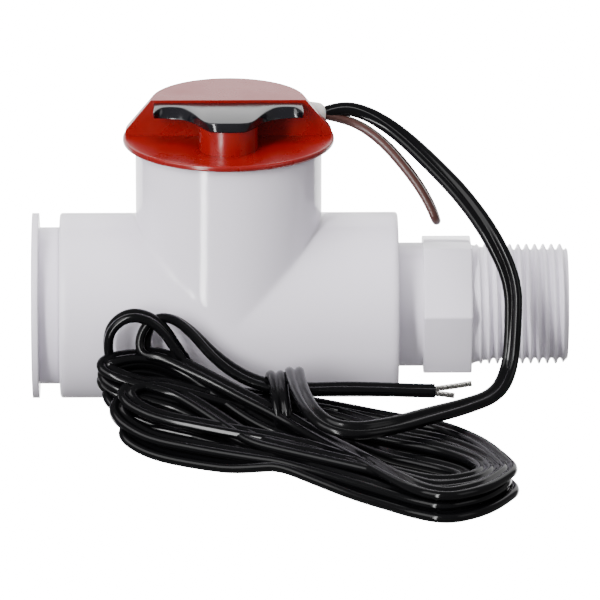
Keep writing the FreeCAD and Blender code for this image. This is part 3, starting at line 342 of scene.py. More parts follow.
def select_only(piece):
    """Makes one object the only selected and active one."""
    select_none()
    piece.select_set(True)
    bpy.context.view_layer.objects.active = piece


def edit_all(piece):
    """Starts edit mode on one object with everything in it selected."""
    select_only(piece)
    bpy.ops.object.mode_set(mode="EDIT")
    bpy.ops.mesh.select_all(action="SELECT")


def settle(piece):
    """Moves a piece's place into its mesh, with its object at the origin."""
    select_only(piece)
    bpy.ops.object.transform_apply(location=True, rotation=True, scale=True)
    return piece


def add_modifier(piece, kind, **settings):
    """Adds a modifier with its settings and applies it."""
    select_only(piece)
    made = piece.modifiers.new(kind.title(), kind)
    for name, value in settings.items():
        setattr(made, name, value)
    bpy.ops.object.modifier_apply(modifier=made.name)


def combine(piece, tool, operation):
    """Joins or cuts a solid with another, which is then deleted."""
    add_modifier(piece, "BOOLEAN", operation=operation, object=tool, solver="EXACT")
    bpy.data.objects.remove(tool)


def draw_profile(name, steps):
    """Draws an open line of edges from a point: the first step is the start, the rest are moves."""
    select_none()
    bpy.ops.mesh.primitive_plane_add(size=0.001, location=steps[0])
    piece = bpy.context.object
    piece.name = name
    edit_all(settle(piece))
    bpy.ops.mesh.merge(type="CENTER")
    for step in steps[1:]:
        bpy.ops.mesh.extrude_vertices_move(TRANSFORM_OT_translate={"value": step})
    bpy.ops.object.mode_set(mode="OBJECT")
    return piece


def moves(points):
    """The steps from each point of a list to the next, after the first point itself."""
    return [points[0]] + [
        tuple(b - a for a, b in zip(first, second)) for first, second in zip(points, points[1:])
    ]


def merge_and_face_out(piece):
    """Merges doubled corners and turns every face outwards."""
    edit_all(piece)
    bpy.ops.mesh.remove_doubles(threshold=DOUBLES_WITHIN)
    bpy.ops.mesh.normals_make_consistent(inside=False)
    bpy.ops.object.mode_set(mode="OBJECT")


def round_edges(piece, radius, segments):
    """Rounds a piece's sharp edges and faces it outwards again."""
    add_modifier(
        piece, "BEVEL", width=radius, segments=segments, limit_method="ANGLE",
        angle_limit=math.radians(40),
    )
    merge_and_face_out(piece)


def smooth_by(piece, degrees):
    """Shades a piece smooth except over its sharp edges."""
    select_only(piece)
    bpy.ops.object.shade_smooth_by_angle(angle=math.radians(degrees))


# -------------------- lead


def hank_point(along, share, height):
    """A place in the hank: along it, across it from its back edge, and over its middle."""
    inside = min(max(along, HANK_SECTIONS[0][0]), HANK_SECTIONS[-1][0])
    for left, right in zip(HANK_SECTIONS, HANK_SECTIONS[1:]):
        if inside <= right[0]:
            break
    part = (inside - left[0]) / (right[0] - left[0])
    front = Vector(left[1]).lerp(Vector(right[1]), part)
    back = Vector(left[2]).lerp(Vector(right[2]), part)
    across = front - back
    up = Vector((across.y, -across.x)).normalized()
    place = back + across * share + up * height
    return Vector((along, place.x, place.y))


def ease(part):
    """A smooth step from 0 to 1."""
    part = min(max(part, 0.0), 1.0)
    return part * part * (3 - 2 * part)


def half_turn(reach, start, end, tip, half, height, waist_height):
    """Points of one end of a turn, from the waist to its tip and back, without the last."""
    side = -1 if start < end else 1

    def strand(part, lane, sign):
        closing = math.sqrt(1 - max(0.0, (part - BIGHT_START) / (1 - BIGHT_START)) ** 2)
        spread = ease(part / BIGHT_START)
        share = lane / LAST_LANE * (1 - spread) + (tip + sign * half * closing) * spread
        level = waist_height + (height - waist_height) * ease(part / RISE_PART)
        return hank_point(WAIST + part * (reach - WAIST), share, level)

    points = [strand(part, start, side) for part in TURN_PARTS]
    points.append(hank_point(reach, tip, height))
    return points + [strand(part, end, -side) for part in reversed(TURN_PARTS[1:])]


def lead_route():
    """Every control point of the lead, from the seal to its bare ends."""
    points = [Vector(p) for p in LEAD_RUN + SECOND_WRAP]
    for number, row in enumerate(HANK_TURNS):
        before = HANK_TURNS[number - 1][5] if number else row[5]
        turn = half_turn(*row, max((before + row[5]) / 2, LEAST_WAIST))
        points += turn[1:] if number == 0 else turn
    points += [Vector(p) for p in BACK_LANE + LOOSE_LOOP]
    points += half_turn(*LAST_TURN, LAST_TURN[5])
    points += [hank_point(*p) for p in LAST_LANE_POINTS]
    return points + [Vector(p) for p in LEAD_TAIL]


def nurbs_curve(name, points, resolution):
    """A curve of one open spline of order 3 that starts and ends at its end points."""
    data = bpy.data.curves.new(name, "CURVE")
    data.dimensions = "3D"
    spline = data.splines.new("NURBS")
    spline.points.add(len(points) - 1)
    for control, place in zip(spline.points, points):
        control.co = (*place, 1.0)
    spline.order_u = 3
    spline.use_endpoint_u = True
    spline.resolution_u = resolution
    return link(bpy.data.objects.new(name, data))


def sampled(points, resolution):
    """The points of the smooth line that a route gives."""
    curve = nurbs_curve("Route", points, resolution)
    mesh = bpy.data.meshes.new_from_object(curve)
    line = [v.co.copy() for v in mesh.vertices]
    data = curve.data
    bpy.data.objects.remove(curve)
    bpy.data.curves.remove(data)
    bpy.data.meshes.remove(mesh)
    return line


def tangents(line):
    """Unit directions along a line of points."""
    ends = [line[0]] + line + [line[-1]]
    return [(after - before).normalized() for before, after in zip(ends, ends[2:])]


def distances(line):
    """How far along a line each of its points is."""
    run = [0.0]
    for before, after in zip(line, line[1:]):
        run.append(run[-1] + (after - before).length)
    return run


def carried_frames(along, first):
    """Carries a side direction along a line without twist."""
    sides = [(first - along[0] * first.dot(along[0])).normalized()]
    for before, after in zip(along, along[1:]):
        turned = before.rotation_difference(after) @ sides[-1]
        sides.append((turned - after * turned.dot(after)).normalized())
    return sides


def wanted_side(place, direction, number):
    """The thin way of the flat lead where it is known, or None where it hangs free."""
    control, rest = divmod(number, SPLINE_STEPS)
    if control in RUN_FACES:
        return Vector(RUN_FACES[control]) if rest == 0 else None
    if control < max(RUN_FACES):
        return None
    x, y, z = (at - middle for at, middle in zip(place, WRAP_MIDDLE))
    wrapping = abs(x) < WRAP_HALF[0] and control < len(LEAD_RUN) + len(SECOND_WRAP)
    if wrapping and WRAP_ENDS[0] < place.y < WRAP_ENDS[1]:
        return Vector((0, y / WRAP_HALF[1] ** 2, z / WRAP_HALF[2] ** 2))
    low = place.y < LYING_FRONT and place.z < LYING_HEIGHT
    return Vector(LYING_SIDE) if low and abs(direction.z) < LYING_SLOPE else None


def flat_sides(line):
    """The thin way of the flat lead at each point, flat where it lies and easy where it hangs."""
    along = tangents(line)
    sides = carried_frames(along, Vector(RUN_FACES[0]))
    known = []
    for number, (place, direction, side) in enumerate(zip(line, along, sides)):
        wanted = wanted_side(place, direction, number)
        if wanted is None:
            continue
        wanted = wanted.normalized()
        wanted -= direction * wanted.dot(direction)
        if wanted.length < LEAST_SQUARE:
            continue
        angle = math.atan2(wanted.dot(direction.cross(side)), wanted.dot(side))
        if known:
            angle += math.pi * round((known[-1][1] - angle) / math.pi)
        known.append((number, angle))
    angles = []
    at = 0
    for number in range(len(line)):
        while at + 1 < len(known) and known[at + 1][0] <= number:
            at += 1
        low = known[at]
        high = known[min(at + 1, len(known) - 1)]
        gap = high[0] - low[0]
        part = min(max((number - low[0]) / gap, 0.0), 1.0) if gap else 0.0
        angles.append(low[1] + (high[1] - low[1]) * part)
    for _ in range(SMOOTHINGS):
        ends = [angles[0]] * TWIST_REACH + angles + [angles[-1]] * TWIST_REACH
        window = 2 * TWIST_REACH + 1
        angles = [sum(ends[at:at + window]) / window for at in range(len(angles))]
    return along, [
        side * math.cos(angle) + direction.cross(side) * math.sin(angle)
        for side, direction, angle in zip(sides, along, angles)
    ]


def twin_section(width, thickness):
    """The outline of two round cores that meet in a groove: across the lead and through it."""
    core = thickness / 2
    middle = width / 2 - core
    angles = [math.radians(degrees) for degrees in range(-150, 151, 30)]
    right = [(middle + core * math.cos(turn), core * math.sin(turn)) for turn in angles]
    return right + [(-x, -y) for x, y in right]


def sweep(name, line, along, sides, section):
    """A tube of a given section along a line, closed at both ends, with its length as UV."""
    count = len(section)
    corners, faces = [], []
    for place, direction, side in zip(line, along, sides):
        across = side.cross(direction)
        corners += [place + across * x + side * y for x, y in section]
    for ring in range(len(line) - 1):
        for step in range(count):
            after = (step + 1) % count
            low, high = ring * count, (ring + 1) * count
            faces.append((low + step, low + after, high + after, high + step))
    faces.append(tuple(reversed(range(count))))
    faces.append(tuple(range((len(line) - 1) * count, len(line) * count)))
    mesh = bpy.data.meshes.new(name)
    mesh.from_pydata(corners, [], faces)
    run = distances(line)
    layer = mesh.uv_layers.new(name="Run")
    for face in mesh.polygons:
        for loop in face.loop_indices:
            ring, step = divmod(mesh.loops[loop].vertex_index, count)
            wrapped = step == 0 and face.index < len(faces) - 2 and face.index % count == count - 1
            layer.data[loop].uv = (1.0 if wrapped else step / count, run[ring])
    mesh.update()
    made = link(bpy.data.objects.new(name, mesh))
    merge_and_face_out(made)
    return made


class LeadOperator(bpy.types.Operator):
    """Builds the flat twin lead along its whole route, with the hank's turns"""

    bl_idname = "flow_switch.lead"
    bl_label = "Flat lead and its hank"

    def execute(self, context):
        sizes = context.scene.flow_switch_sizes
        line = sampled(lead_route(), SPLINE_STEPS)
        along, sides = flat_sides(line)
        lead = sweep(
            "Lead", line, along, sides, twin_section(sizes.lead_width, sizes.lead_thickness)
        )
        smooth_by(lead, 50)
        lead.data.materials.append(lead_jacket(context.scene.flow_switch_colours))
        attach(lead, "cap")
        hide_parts("lead_run", "lead_hank", "loose_loop", "lead_tail")
        return {"FINISHED"}


class JumperOperator(bpy.types.Operator):
    """Builds the single brown wire that loops out of the seal and back"""

    bl_idname = "flow_switch.jumper"
    bl_label = "Brown jumper wire"

    def execute(self, context):
        jumper = nurbs_curve("Jumper", JUMPER_LOOP, JUMPER_STEPS)
        jumper.data.bevel_depth = context.scene.flow_switch_sizes.jumper_width / 2
        jumper.data.bevel_resolution = 6
        jumper.data.use_fill_caps = True
        jumper.data.materials.append(wire_insulation(context.scene.flow_switch_colours))
        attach(jumper, "cap")
        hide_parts("jumper_loop")
        return {"FINISHED"}


class BareEndsOperator(bpy.types.Operator):
    """Builds the two twisted ends of tinned strands where the lead is stripped"""

    bl_idname = "flow_switch.bare_ends"
    bl_label = "Bare ends of the lead"

    def execute(self, context):
        width = context.scene.flow_switch_sizes.strand_width
        turns = [math.tau * step / STRAND_SIDES for step in range(STRAND_SIDES)]
        section = [(width / 2 * math.cos(turn), width / 2 * math.sin(turn)) for turn in turns]
        strands = []
        for route in BARE_ENDS:
            core = sampled(route, STRAND_STEPS)
            along = tangents(core)
            sides = carried_frames(along, Vector((0, 0, 1)))
            strands.append(sweep("Strand", core, along, sides, section))
            for number in range(STRANDS_ROUND):
                line = []
                for place, direction, side, length in zip(core, along, sides, distances(core)):
                    angle = math.tau * (number / STRANDS_ROUND + length / STRAND_LAY)
                    turned = side * math.cos(angle) + direction.cross(side) * math.sin(angle)
                    line.append(place + turned * width * STRAND_SPACE)
                ways = tangents(line)
                faces = carried_frames(ways, Vector((0, 1, 0)))
                strands.append(sweep("Strand", line, ways, faces, section))
        select_only(strands[0])
        for strand in strands:
            strand.select_set(True)
        bpy.ops.object.join()
        ends = bpy.context.object
        ends.name = "Bare_ends"
        smooth_by(ends, 60)
        ends.data.materials.clear()
        ends.data.materials.append(tinned_strands())
        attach(ends, "cap")
        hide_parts("wire_ends")
        return {"FINISHED"}


# -------------------- outlet adapter


def turned_bar(name, places):
    """A solid bar turned about the X axis from (place, radius) pairs, closed on the axis."""
    points = [(places[0][0], 0, 0)] + [(x, 0, r) for x, r in places] + [(places[-1][0], 0, 0)]
    bar = draw_profile(name, moves(points))
    add_modifier(
        bar, "SCREW", axis="X", steps=TURN_STEPS, render_steps=TURN_STEPS,
        use_merge_vertices=True, merge_threshold=MERGE_WITHIN,
    )
    merge_and_face_out(bar)
    return bar


def hexagon(start, end, across, turn):
    """A hexagonal bar along X with its edges eased."""
    select_none()
    bpy.ops.mesh.primitive_cylinder_add(
        vertices=6, radius=across / math.sqrt(3), depth=end - start,
        location=((start + end) / 2, 0, 0), rotation=(0, math.pi / 2, 0),
    )
    bar = settle(bpy.context.object)
    bar.rotation_euler.x = turn
    edit_all(settle(bar))
    bpy.ops.mesh.bevel(offset=HEX_EDGE, segments=3, affect="EDGES")
    bpy.ops.object.mode_set(mode="OBJECT")
    return bar


def threaded_bar(start, end, radius, depth, pitch):
    """A solid bar with an outside thread, flat at both ends, that runs out where it starts."""
    root = radius - depth
    points = [(start - TURNS_BEFORE * pitch, 0, root)]
    for share, level in THREAD_FORM:
        points.append((start - (TURNS_BEFORE - share) * pitch, 0, root + level * depth))
    bar = draw_profile("Thread", moves(points))
    turns = math.ceil((end - start) / pitch) + TURNS_SPARE
    add_modifier(
        bar, "SCREW", axis="X", angle=math.tau, screw_offset=pitch, iterations=turns,
        steps=TURN_STEPS, render_steps=TURN_STEPS, use_merge_vertices=False,
    )
    merge_and_face_out(bar)
    edit_all(bar)
    for place, way in ((start, -1), (end, 1)):
        bpy.ops.mesh.select_all(action="SELECT")
        bpy.ops.mesh.bisect(
            plane_co=(place, 0, 0), plane_no=(way, 0, 0), use_fill=True, clear_outer=True,
            threshold=MERGE_WITHIN,
        )
    bpy.ops.object.mode_set(mode="OBJECT")
    for corner in bar.data.vertices:
        reach = math.hypot(corner.co.y, corner.co.z)
        run_out = min(max((corner.co.x - start) / (RUN_OUT_TURNS * pitch), 0.0), 1.0)
        least = root + depth * (1 - run_out)
        most = radius - max(0.0, corner.co.x - (end - THREAD_BEVEL))
        wanted = min(max(reach, least), most)
        corner.co.y *= wanted / reach
        corner.co.z *= wanted / reach
    merge_and_face_out(bar)
    return bar


class OutletOperator(bpy.types.Operator):
    """Builds the outlet adapter: spigot, hexagon, thread and waterway"""

    bl_idname = "flow_switch.outlet"
    bl_label = "Threaded outlet adapter"

    def execute(self, context):
        sizes = context.scene.flow_switch_sizes
        low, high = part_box("outlet_adapter")
        start, end = low[0], high[0]
        level = (low[2] + high[2]) / 2
        hex_start, hex_end = end - THREAD_LENGTH - HEX_LENGTH, end - THREAD_LENGTH
        adapter = turned_bar("Outlet_adapter", [
            (start, NECK_RADIUS - NECK_EDGE), (start + NECK_EDGE, NECK_RADIUS),
            (hex_start + NECK_IN_HEX, NECK_RADIUS),
        ])
        combine(adapter, hexagon(hex_start, hex_end, HEX_ACROSS, HEX_TURN), "UNION")
        thread = threaded_bar(
            hex_end - OVERLAP, end, THREAD_RADIUS, sizes.thread_depth, sizes.thread_pitch
        )
        combine(adapter, thread, "UNION")
        bore = turned_bar("Bore", [
            (start - CUT_PAST, OUTLET_BORE + BORE_FLARES[0]), (start + NECK_EDGE, OUTLET_BORE),
            (end - OVERLAP, OUTLET_BORE), (end + CUT_PAST, OUTLET_BORE + BORE_FLARES[1]),
        ])
        combine(adapter, bore, "DIFFERENCE")
        adapter.location.z = level
        settle(adapter)
        merge_and_face_out(adapter)
        smooth_by(adapter, 32)
        adapter.data.materials.clear()
        adapter.data.materials.append(moulded_pvc(context.scene.flow_switch_colours))
        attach(adapter, "tee")
        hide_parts("outlet_adapter")
        return {"FINISHED"}


# -------------------- grip, seal and spring


class GripOperator(bpy.types.Operator):
    """Builds the thumb grip, a plate whose front is one wave with a scoop on each side"""

    bl_idname = "flow_switch.grip"
    bl_label = "Black grip on the cap"

    def execute(self, context):
        low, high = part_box("grip_plate")
        middle, back = (low[0] + high[0]) / 2, high[1]
        wave = [(-across, upper, lower) for across, upper, lower in reversed(GRIP_WAVE[1:])]
        wave += GRIP_WAVE
        top = sampled([(middle + x, -upper, high[2]) for x, upper, lower in wave], GRIP_STEPS)
        foot = sampled([(middle + x, -lower, low[2]) for x, upper, lower in wave], GRIP_STEPS)
        corners, faces = [], []
        for above, below in zip(top, foot):
            corners += [
                (above.x, back, high[2]), tuple(above), tuple(below), (below.x, back, low[2])
            ]
        for ring in range(0, len(corners) - 4, 4):
            for step in range(4):
                after = (step + 1) % 4
                faces.append((ring + step, ring + after, ring + 4 + after, ring + 4 + step))
        faces += [(3, 2, 1, 0), tuple(range(len(corners) - 4, len(corners)))]
        mesh = bpy.data.meshes.new("Grip")
        mesh.from_pydata(corners, [], faces)
        mesh.update()
        grip = link(bpy.data.objects.new("Grip", mesh))
        merge_and_face_out(grip)
        round_edges(grip, GRIP_ROUND, 4)
        smooth_by(grip, 50)
        black = (*context.scene.flow_switch_colours.grip, 1.0)
        grip.data.materials.append(gloss_abs("Black_ABS_moulded", black, 0.14, 0.24, 0.010))
        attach(grip, "cap")
        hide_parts("grip_plate")
        return {"FINISHED"}


class SealOperator(bpy.types.Operator):
    """Builds the soft seal that fills the cap's side hole round the wires"""

    bl_idname = "flow_switch.seal"
    bl_label = "Seal round the wires"

    def execute(self, context):
        start, end = (Vector(place) for place in SEAL_AXIS)
        way = end - start
        select_none()
        bpy.ops.mesh.primitive_cone_add(
            vertices=40, radius1=SEAL_RADII[0], radius2=SEAL_RADII[1], depth=way.length,
            location=(start + end) / 2, rotation=way.to_track_quat("Z", "Y").to_euler(),
        )
        seal = settle(bpy.context.object)
        seal.name = "Seal"
        round_edges(seal, SEAL_ROUND, 5)
        smooth_by(seal, 60)
        seal.data.materials.append(soft_seal(context.scene.flow_switch_colours))
        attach(seal, "cap")
        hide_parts("cable_seal")
        return {"FINISHED"}


class SpringOperator(bpy.types.Operator):
    """Builds the torsion spring on the pin from a copy of the model's spring"""

    bl_idname = "flow_switch.spring"
    bl_label = "Return spring of the paddle"

    def execute(self, context):
        mesh = bpy.data.objects["return_spring"].data.copy()
        mesh.materials.clear()
        spring = link(bpy.data.objects.new("Spring", mesh))
        merge_and_face_out(spring)
        smooth_by(spring, 50)
        mesh.materials.append(stainless_steel())
        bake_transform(spring)
        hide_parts("return_spring")
        return {"FINISHED"}


# -------------------- finishes


def add_node(tree, kind, settings=None, values=None, links=None):
    """Adds a node, sets it and its sockets, and links other nodes' outputs to it."""
    made = tree.nodes.new(kind)
    for name, value in (settings or {}).items():
        setattr(made, name, value)
    for name, value in (values or {}).items():
        made.inputs[name].default_value = value
    for name, source in (links or {}).items():
        tree.links.new(source, made.inputs[name])
    return made


def per_mm(size):
    """The scale of a pattern on Object coordinates whose features are that many mm."""
    return 1000 / size


def new_finish(name, values):
    """A material with its tree, its shader and its Object coordinates, or one already made."""
    material = bpy.data.materials.get(name)
    if material:
        return material, None, None, None
    material = bpy.data.materials.new(name)
    material.use_nodes = True
    tree = material.node_tree
    tree.nodes.clear()
    shader = add_node(tree, "ShaderNodeBsdfPrincipled", values=values)
    add_node(tree, "ShaderNodeOutputMaterial", links={"Surface": shader.outputs[0]})
    places = add_node(tree, "ShaderNodeTexCoord").outputs["Object"]
    return material, tree, shader, places


def tinted(tree, shader, places, light, dark, size, **values):
    """Lets two colours drift into each other over so many mm, and gives the drift's pattern."""
    drift = add_node(
        tree, "ShaderNodeTexNoise", values={"Scale": per_mm(size), **values},
        links={"Vector": places},
    ).outputs["Fac"]
    tint = add_node(tree, "ShaderNodeMix", {"data_type": "RGBA"}, {6: light, 7: dark}, {0: drift})
    tree.links.new(tint.outputs[2], shader.inputs["Base Color"])
    return drift


def mottle(tree, shader, places, light, dark, size, low, high):
    """Lets colour and gloss drift over a surface: two colours, the drift's size and roughness."""
    drift = tinted(tree, shader, places, light, dark, size, Detail=4.0, Roughness=0.55)
    gloss = add_node(
        tree, "ShaderNodeMapRange",
        values={"From Min": 0.3, "From Max": 0.7, "To Min": low, "To Max": high},
        links={"Value": drift},
    )
    tree.links.new(gloss.outputs[0], shader.inputs["Roughness"])


def grain(tree, shader, places, size, height, edge):
    """Raises a fine grain of a given size and height in mm, and rounds edges by so many mm."""
    fine = add_node(
        tree, "ShaderNodeTexNoise", values={"Scale": per_mm(size), "Detail": 2.0},
        links={"Vector": places},
    )
    bump = add_node(
        tree, "ShaderNodeBump", values={"Strength": 0.6, "Distance": height / 1000},
        links={"Height": fine.outputs["Fac"]},
    )
    tree.links.new(bump.outputs[0], shader.inputs["Normal"])
    if edge:
        rounded = add_node(tree, "ShaderNodeBevel", {"samples": 6}, {"Radius": edge / 1000})
        tree.links.new(rounded.outputs[0], bump.inputs["Normal"])


def shade(colour, share):
    """A linear colour made lighter or darker."""
    return (*[min(1.0, part * share) for part in colour[:3]], 1.0)


def drifting(name, values, light, dark, drift, gloss, fine, edge=0.0):
    """A finish of two colours that drift into each other over so many mm, with its least and most
    roughness, the size and height of its grain, and the rounding of its edges, in mm."""
    material, tree, shader, places = new_finish(name, values)
    if tree:
        mottle(tree, shader, places, light, dark, drift, *gloss)
        grain(tree, shader, places, *fine, edge)
    return material


def moulded_pvc(colours, name="Rigid_PVC_moulded", edge=0.7):
    """Rigid PVC, injection moulded: hard clean white with a low, slightly uneven gloss.
    Flow marks of about 14 mm drift through it, orange peel of 1.6 mm softens reflections, and
    its edges look rounded by so many mm."""
    light = (*colours.fitting, 1.0)
    return drifting(
        name, {"IOR": 1.53}, light, shade(light, 0.965), 14, (0.06, 0.11), (1.6, 0.006), edge
    )


def gloss_abs(name, colour, low, high, peel):
    """Glossy ABS, injection moulded: deep even colour under a hard shine, with faint orange peel
    of about 2 mm and a slow drift of gloss where it has been handled."""
    return drifting(name, {"IOR": 1.52}, colour, shade(colour, 0.86), 9, (low, high), (2.0, peel))


def lead_jacket(colours):
    """Flexible PVC, extruded over two cores: satin black with a cool sheen.
    Lines of the die run along it, 26 round it and each some 25 mm long, coarser than real ones so
    that they show. The gloss varies every 20 mm or so."""
    material, tree, shader, places = new_finish(
        "Flexible_PVC_extruded", {"IOR": 1.46, "Specular IOR Level": 0.2}
    )
    if tree:
        run = add_node(tree, "ShaderNodeTexCoord").outputs["UV"]
        stretched = add_node(
            tree, "ShaderNodeMapping", values={"Scale": (26.0, per_mm(25), 1.0)},
            links={"Vector": run},
        )
        lines = add_node(
            tree, "ShaderNodeTexNoise", values={"Scale": 1.0, "Detail": 3.0},
            links={"Vector": stretched.outputs[0]},
        )
        bump = add_node(
            tree, "ShaderNodeBump", values={"Strength": 0.12, "Distance": 0.00003},
            links={"Height": lines.outputs["Fac"]},
        )
        tree.links.new(bump.outputs[0], shader.inputs["Normal"])
        black = (*colours.lead, 1.0)
        mottle(tree, shader, places, black, shade(black, 1.4), 20, 0.12, 0.20)
    return material


def wire_insulation(colours):
    """Semi-rigid PVC, extruded over one wire: warm dark brown with a soft shine."""
    brown = (*colours.jumper, 1.0)
    return drifting(
        "Wire_insulation_extruded", {"IOR": 1.5}, brown, shade(brown, 0.7), 6, (0.30, 0.42),
        (0.5, 0.01),
    )


def tinned_strands():
    """Tinned copper, drawn and twisted: a pale grey metal, dulled in patches by handling."""
    return drifting(
        "Tinned_copper_drawn", {"Metallic": 1.0}, linear("#B4B2AE"), linear("#4A4641"), 0.6,
        (0.18, 0.40), (0.12, 0.01),
    )


def soft_seal(colours):
    """Silicone, moulded: a milky off-white with a dull, slightly sticky surface."""
    pale = (*colours.seal, 1.0)
    return drifting(
        "Silicone_moulded", {"IOR": 1.43, "Subsurface Weight": 0.2, "Subsurface Scale": 0.001},
        pale, shade(pale, 0.85), 3, (0.45, 0.6), (0.4, 0.02),
    )


def ring_rubber():
    """Nitrile rubber, moulded: a matt greyish black with a fine bloom."""
    return drifting(
        "Nitrile_rubber_moulded", {"IOR": 1.52}, linear("#17171A"), linear("#24242A"), 2,
        (0.5, 0.68), (0.25, 0.015),
    )


def yoke_acetal():
    """Acetal, moulded: a waxy off-white with a soft shine, for parts that rub."""
    return drifting(
        "Acetal_moulded", {"IOR": 1.48}, linear("#DDD9CE"), linear("#CFCABC"), 6, (0.30, 0.40),
        (0.8, 0.01),
    )


def paddle_polymer(colours):
    """Glass-filled nylon, moulded: mid grey, its short fibres showing as a fine fleck."""
    grey = (*colours.paddle, 1.0)
    return drifting(
        "Glass_filled_nylon_moulded", {"IOR": 1.53}, grey, shade(grey, 0.7), 1.2, (0.36, 0.5),
        (0.35, 0.02),
    )


def stainless_steel():
    """Stainless steel, drawn and tumbled: a bright neutral metal with fine scratches of 0.3 mm."""
    return drifting(
        "Stainless_steel_tumbled", {"Metallic": 1.0}, linear("#C9CACC"), linear("#A6A8AB"), 1.5,
        (0.20, 0.34), (0.3, 0.008),
    )


def sintered_ferrite():
    """Ferrite, pressed and sintered: a dense charcoal grey with a fine open grain."""
    return drifting(
        "Ferrite_sintered", {"IOR": 2.2}, linear("#3A3A3D"), linear("#2A2A2D"), 0.6, (0.5, 0.7),
        (0.15, 0.03),
    )


def circuit_laminate():
    """Glass-epoxy laminate with solder mask: a deep green varnish over a woven ground of 0.5 mm."""
    material, tree, shader, places = new_finish(
        "Glass_epoxy_masked", {"IOR": 1.55, "Coat Weight": 0.4}
    )
    if tree:
        weave = add_node(
            tree, "ShaderNodeTexBrick", {"offset": 0.5},
            {"Color1": linear("#1F5A35"), "Color2": linear("#1A4E2E"), "Mortar": linear("#143F25"),
             "Scale": per_mm(1.0), "Mortar Size": 0.04, "Brick Width": 0.5, "Row Height": 0.5},
            {"Vector": places},
        )
        tree.links.new(weave.outputs["Color"], shader.inputs["Base Color"])
        bump = add_node(
            tree, "ShaderNodeBump", values={"Strength": 0.3, "Distance": 0.00002},
            links={"Height": weave.outputs["Fac"]},
        )
        tree.links.new(bump.outputs[0], shader.inputs["Normal"])
        shader.inputs["Roughness"].default_value = 0.3
    return material


def sealed_glass():
    """Soda-lime glass, drawn and sealed: clear with a green cast and faint draw lines."""
    material, tree, shader, places = new_finish(
        "Glass_drawn", {"IOR": 1.52, "Transmission Weight": 1.0, "Roughness": 0.03}
    )
    if tree:
        tinted(tree, shader, places, linear("#DCEBD8"), linear("#C6DEC4"), 3)
    return material


def potting_resin():
    """Epoxy, poured and cured: dark amber with a wet shine and slow waves of 5 mm."""
    return drifting(
        "Epoxy_poured", {"IOR": 1.55, "Coat Weight": 0.3}, linear("#2B1D12"), linear("#1D140D"),
        5, (0.12, 0.25), (5.0, 0.15),
    )


def backing_paper():
    """Matt white paper, lit from below: even and without shadow, with a fine tooth."""
    values = {"Emission Strength": PAPER_GLOW, "Emission Color": (1.0, 1.0, 1.0, 1.0)}
    return drifting(
        "Backing_paper_matt", values, linear("#F6F6F6"), linear("#F1F1F1"), 60, (0.85, 0.95),
        (0.8, 0.01),
    )


class FinishesOperator(bpy.types.Operator):
    """Gives every part of the model that is shown as it is its finish"""

    bl_idname = "flow_switch.finishes"
    bl_label = "Finishes of the moulded parts"

    def execute(self, context):
        colours = context.scene.flow_switch_colours
        red = gloss_abs("Red_ABS_moulded", (*colours.cap, 1.0), 0.24, 0.34, 0.012)
        finishes = {
            moulded_pvc(colours): ("inlet_bushing", "outlet_reducer"),
            moulded_pvc(colours, "Rigid_PVC_tee_moulded", 2.4): ("tee_body",),
            red: ("switch_cap", "plug_shell"),
            ring_rubber(): ("upper_ring", "lower_ring", "splice_sleeves"),
            yoke_acetal(): ("paddle_yoke",),
            paddle_polymer(colours): ("paddle_arm", "paddle_blade"),
            stainless_steel(): ("pivot_pin", "pin_clips", "blade_rivets"),
            sintered_ferrite(): ("magnet",),
            circuit_laminate(): ("circuit_board",),
            sealed_glass(): ("reed_glass",),
            tinned_strands(): ("reed_contacts",),
            potting_resin(): ("potting",),
        }
        for material, names in finishes.items():
            for name in names:
                for slot in bpy.data.objects[name].material_slots:
                    slot.material = material
        return {"FINISHED"}


# -------------------- stage


def aim(made, place, target):
    """Places a lamp or the camera and points it at a target."""
    made.location = place
    made.rotation_euler = (Vector(target) - Vector(place)).to_track_quat("-Z", "Y").to_euler()


def add_panel(name, bearing, distance, height, width, tall, brightness):
    """A soft lamp that the camera doesn't see, as bright as a surface of that radiance."""
    data = bpy.data.lights.new(name, "AREA")
    data.shape = "RECTANGLE"
    data.size, data.size_y = width, tall
    data.energy = brightness * math.pi * width * tall
    lamp = link(bpy.data.objects.new(name, data))
    lamp.visible_camera = False
    lamp.visible_glossy = name not in SHINE_FREE
    turn = math.radians(bearing)
    aim(lamp, (distance * math.sin(turn), -distance * math.cos(turn), height), LAMP_TARGET)


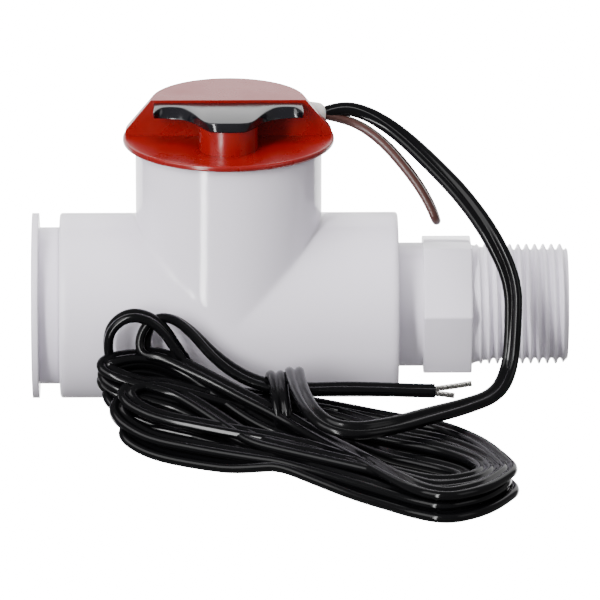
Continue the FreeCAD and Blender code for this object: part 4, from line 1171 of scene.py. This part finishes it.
class StageOperator(bpy.types.Operator):
    """Sets up the pale floor, the soft studio light and the camera"""

    bl_idname = "flow_switch.stage"
    bl_label = "Floor, light and camera"

    def execute(self, context):
        select_none()
        bpy.ops.mesh.primitive_plane_add(size=FLOOR_SIZE, location=(0, 0, -FLOOR_DROP))
        floor = settle(bpy.context.object)
        floor.name = "Floor"
        floor.data.materials.append(backing_paper())
        bpy.ops.mesh.primitive_uv_sphere_add(segments=64, ring_count=32, radius=ROOM_RADIUS)
        room = settle(bpy.context.object)
        room.name = "Backdrop"
        bpy.ops.object.shade_smooth()
        room.data.materials.append(floor.data.materials[0])
        room.visible_shadow = False
        for backing in (floor, room):
            backing.visible_glossy = backing.visible_diffuse = backing.visible_transmission = False
        for row in PANELS:
            add_panel(*row)
        world = bpy.data.worlds.new("Studio")
        world.use_nodes = True
        background = world.node_tree.nodes["Background"]
        background.inputs["Color"].default_value = (1.0, 1.0, 1.0, 1.0)
        background.inputs["Strength"].default_value = ROOM_LIGHT
        context.scene.world = world
        data = bpy.data.cameras.new("Camera")
        data.sensor_width, data.lens, data.shift_y = 36.0, CAMERA_LENS, CAMERA_SHIFT
        data.clip_start, data.clip_end = 0.05, 20.0
        camera = link(bpy.data.objects.new("Camera", data))
        turn, tilt = math.radians(CAMERA_TURN), math.radians(CAMERA_TILT)
        away = Vector((
            math.sin(turn) * math.cos(tilt), -math.cos(turn) * math.cos(tilt), math.sin(tilt)
        ))
        target = Vector(CAMERA_TARGET)
        aim(camera, target + away * CAMERA_DISTANCE, target)
        context.scene.camera = camera
        return {"FINISHED"}


# -------------------- panel and run


class FlowSwitchPanel(bpy.types.Panel):
    """Lists the sizes, the colours and the pieces"""

    bl_idname = "VIEW3D_PT_flow_switch"
    bl_label = "Paddle flow switch"
    bl_space_type = "VIEW_3D"
    bl_region_type = "UI"
    bl_category = "Flow switch"

    def draw(self, context):
        for group in (context.scene.flow_switch_sizes, context.scene.flow_switch_colours):
            box = self.layout.box()
            for name in group.bl_rna.properties.keys():
                if name not in ("rna_type", "name"):
                    box.prop(group, name)
        for operator in OPERATORS:
            self.layout.operator(operator.bl_idname)


OPERATORS = (
    OutletOperator, BareEndsOperator, LeadOperator, JumperOperator, GripOperator, SealOperator,
    SpringOperator, FinishesOperator, StageOperator,
)
CLASSES = (FlowSwitchSizes, FlowSwitchColours, *OPERATORS, FlowSwitchPanel)


def register():
    """Registers the classes and gives the scene its sizes and colours."""
    for kind in CLASSES:
        bpy.utils.register_class(kind)
    bpy.types.Scene.flow_switch_sizes = bpy.props.PointerProperty(type=FlowSwitchSizes)
    bpy.types.Scene.flow_switch_colours = bpy.props.PointerProperty(type=FlowSwitchColours)


def unregister():
    """Takes the classes and the scene's sizes and colours away again."""
    del bpy.types.Scene.flow_switch_colours
    del bpy.types.Scene.flow_switch_sizes
    for kind in reversed(CLASSES):
        bpy.utils.unregister_class(kind)


def main():
    """Builds everything in order."""
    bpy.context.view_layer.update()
    register()
    for operator in OPERATORS:
        module, name = operator.bl_idname.split(".")
        getattr(getattr(bpy.ops, module), name)()


if __name__ == "__main__":
    main()
